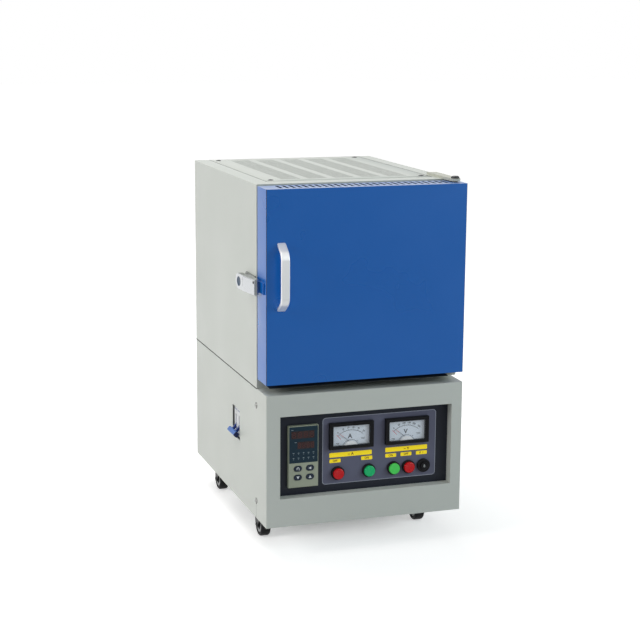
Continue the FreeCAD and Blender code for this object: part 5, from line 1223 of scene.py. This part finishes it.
def caster_wheel(place):
    """Tyre with soft shoulders, a sunk disc with its hub, and a pale ring near the tyre."""
    body = "caster_wheel_" + place
    low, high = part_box(body)
    centre = (low + high) / 2
    shape = bmesh.new()
    add_turned(shape, mirrored(TYRE_HALF), centre, (1, 0, 0), 72, True)
    make_piece(shape, "tyre_" + place, body, tyre_nylon, stands_for=(body,))
    shape = bmesh.new()
    add_turned(shape, mirrored(DISC_HALF), centre, (1, 0, 0), closed=True)
    make_piece(shape, "disc_" + place, body, tyre_nylon)
    shape = bmesh.new()
    for side in (-1, 1):
        add_turned(shape, ((8.6, side * 6.4), (8.9, side * 7.1), (12.6, side * 7.1), (12.9, side * 6.4)),
                   centre, (1, 0, 0), closed=True)
    make_piece(shape, "ring_" + place, body, ring_nylon)


dressed("caster_plates", "caster_top_plates", "cabinet", caster_black, 0.4 * MM)
for place in FRONT_CASTERS + REAR_CASTERS:
    fork = "caster_fork_" + place
    dressed(fork, "fork_" + place, fork, caster_black, 0.4 * MM)
    caster_wheel(place)
for place in FRONT_CASTERS:
    pedal = "brake_pedal_" + place
    dressed(pedal, "pedal_" + place, pedal, plated, 0.4 * MM, 3)

# Screws: plated dome-head screws with a socket, four through the sides into the base's posts, four
# flatter ones through the cover into its ledge, and twelve that hold the two rear sheets.
FASCIA_LOW, FASCIA_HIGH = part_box("front_fascia")
WING_END, JOINT_HALF, JOINT_PROUD, JOINT_TOP = CABINET.y + 54.0 * MM, 0.3 * MM, 0.04 * MM, 23.5 * MM
SIDE_SCREWS = [(side, height) for side in (-1, 1) for height in (28.0, 181.0)]
COVER_SCREWS = [(x, y) for x in (-115.0, 132.0) for y in (-115.0, 194.3)]


def wing_joints():
    """The fine open joint behind each wing of the fascia, below the lower screw."""
    shape = bmesh.new()
    for left in (FASCIA_LOW.x - JOINT_PROUD, FASCIA_HIGH.x):
        add_box(shape, (left, WING_END - JOINT_HALF, CABINET.z + 0.4 * MM),
                (left + JOINT_PROUD, WING_END + JOINT_HALF, CABINET.z + JOINT_TOP))
    shade = printed("joint_shade", screen(122, 126, 120), 0.7)
    make_piece(shape, "wing_joints", "cabinet", shade)


def dome_screws():
    """Four side screws on black washers, four flatter blackened cover screws, and twelve rear heads."""
    dome = ((0, 1.1), (1.15, 1.2), (1.5, 1.95), (2.3, 1.85), (3.4, 1.4), (4.1, 0.85), (4.35, 0.3), (2.0, 0.3),
            (2.0, -9.0), (0, -9.0))
    washer = ((2.0, 0.0), (4.95, 0.0), (4.95, 0.35), (4.6, 0.45), (2.0, 0.45))
    head = ((0, 0.5), (1.1, 0.6), (1.4, 1.25), (2.6, 1.1), (3.9, 0.7), (4.6, 0.0))
    shank = ((2.0, 0.0), (2.0, -9.0), (0, -9.0))
    shape, washers, cover, back = (bmesh.new() for _ in range(4))
    for side, height in SIDE_SCREWS:
        seat = Vector((FASCIA_LOW.x if side < 0 else FASCIA_HIGH.x, WING_END, CABINET.z + height * MM))
        add_turned(shape, dome, seat, (side, 0, 0), 32)
        add_turned(washers, washer, seat, (side, 0, 0), 32, True)
    for x, y in COVER_SCREWS:
        add_turned(cover, head + shank, Vector((x * MM, y * MM, COVER_HIGH.z)), (0, 0, 1), 32)
    for node, inset in (("casing_rear", 13.0 * MM), ("base_rear_panel", 9.0 * MM)):
        low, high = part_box(node)
        for x in (low.x + inset, high.x - inset):
            for z in (low.z + inset, (low.z + high.z) / 2, high.z - inset):
                add_turned(back, head + ((0, 0.0),), Vector((x, high.y, z)), (0, 1, 0), 24)
    make_piece(back, "rear_screws", "cabinet", screw_steel)
    make_piece(shape, "dome_screws", "cabinet", screw_steel, stands_for=("panel_screws",))
    make_piece(washers, "screw_washers", "cabinet", black_moulding)
    make_piece(cover, "cover_screws", "cabinet", black_steel)


screw_steel = finish("screw_steel", screen(150, 151, 148), 0.2, metallic=1.0)
vary_gloss(screw_steel, noise_on(screw_steel, 300, 3), 0.14, 0.32)
dome_screws()
wing_joints()

# Cable gland: a black nylon gland in the rear sheet, with its hexagon, ribbed clamping nut and
# lock nut inside, where the mains cable comes in.
nylon = moulded("gland_nylon", screen(30, 31, 33), 0.5, 1600, 0.15, 0.2)
dressed("cable_gland", "gland_body", "cabinet", nylon, 0.5 * MM, 3)
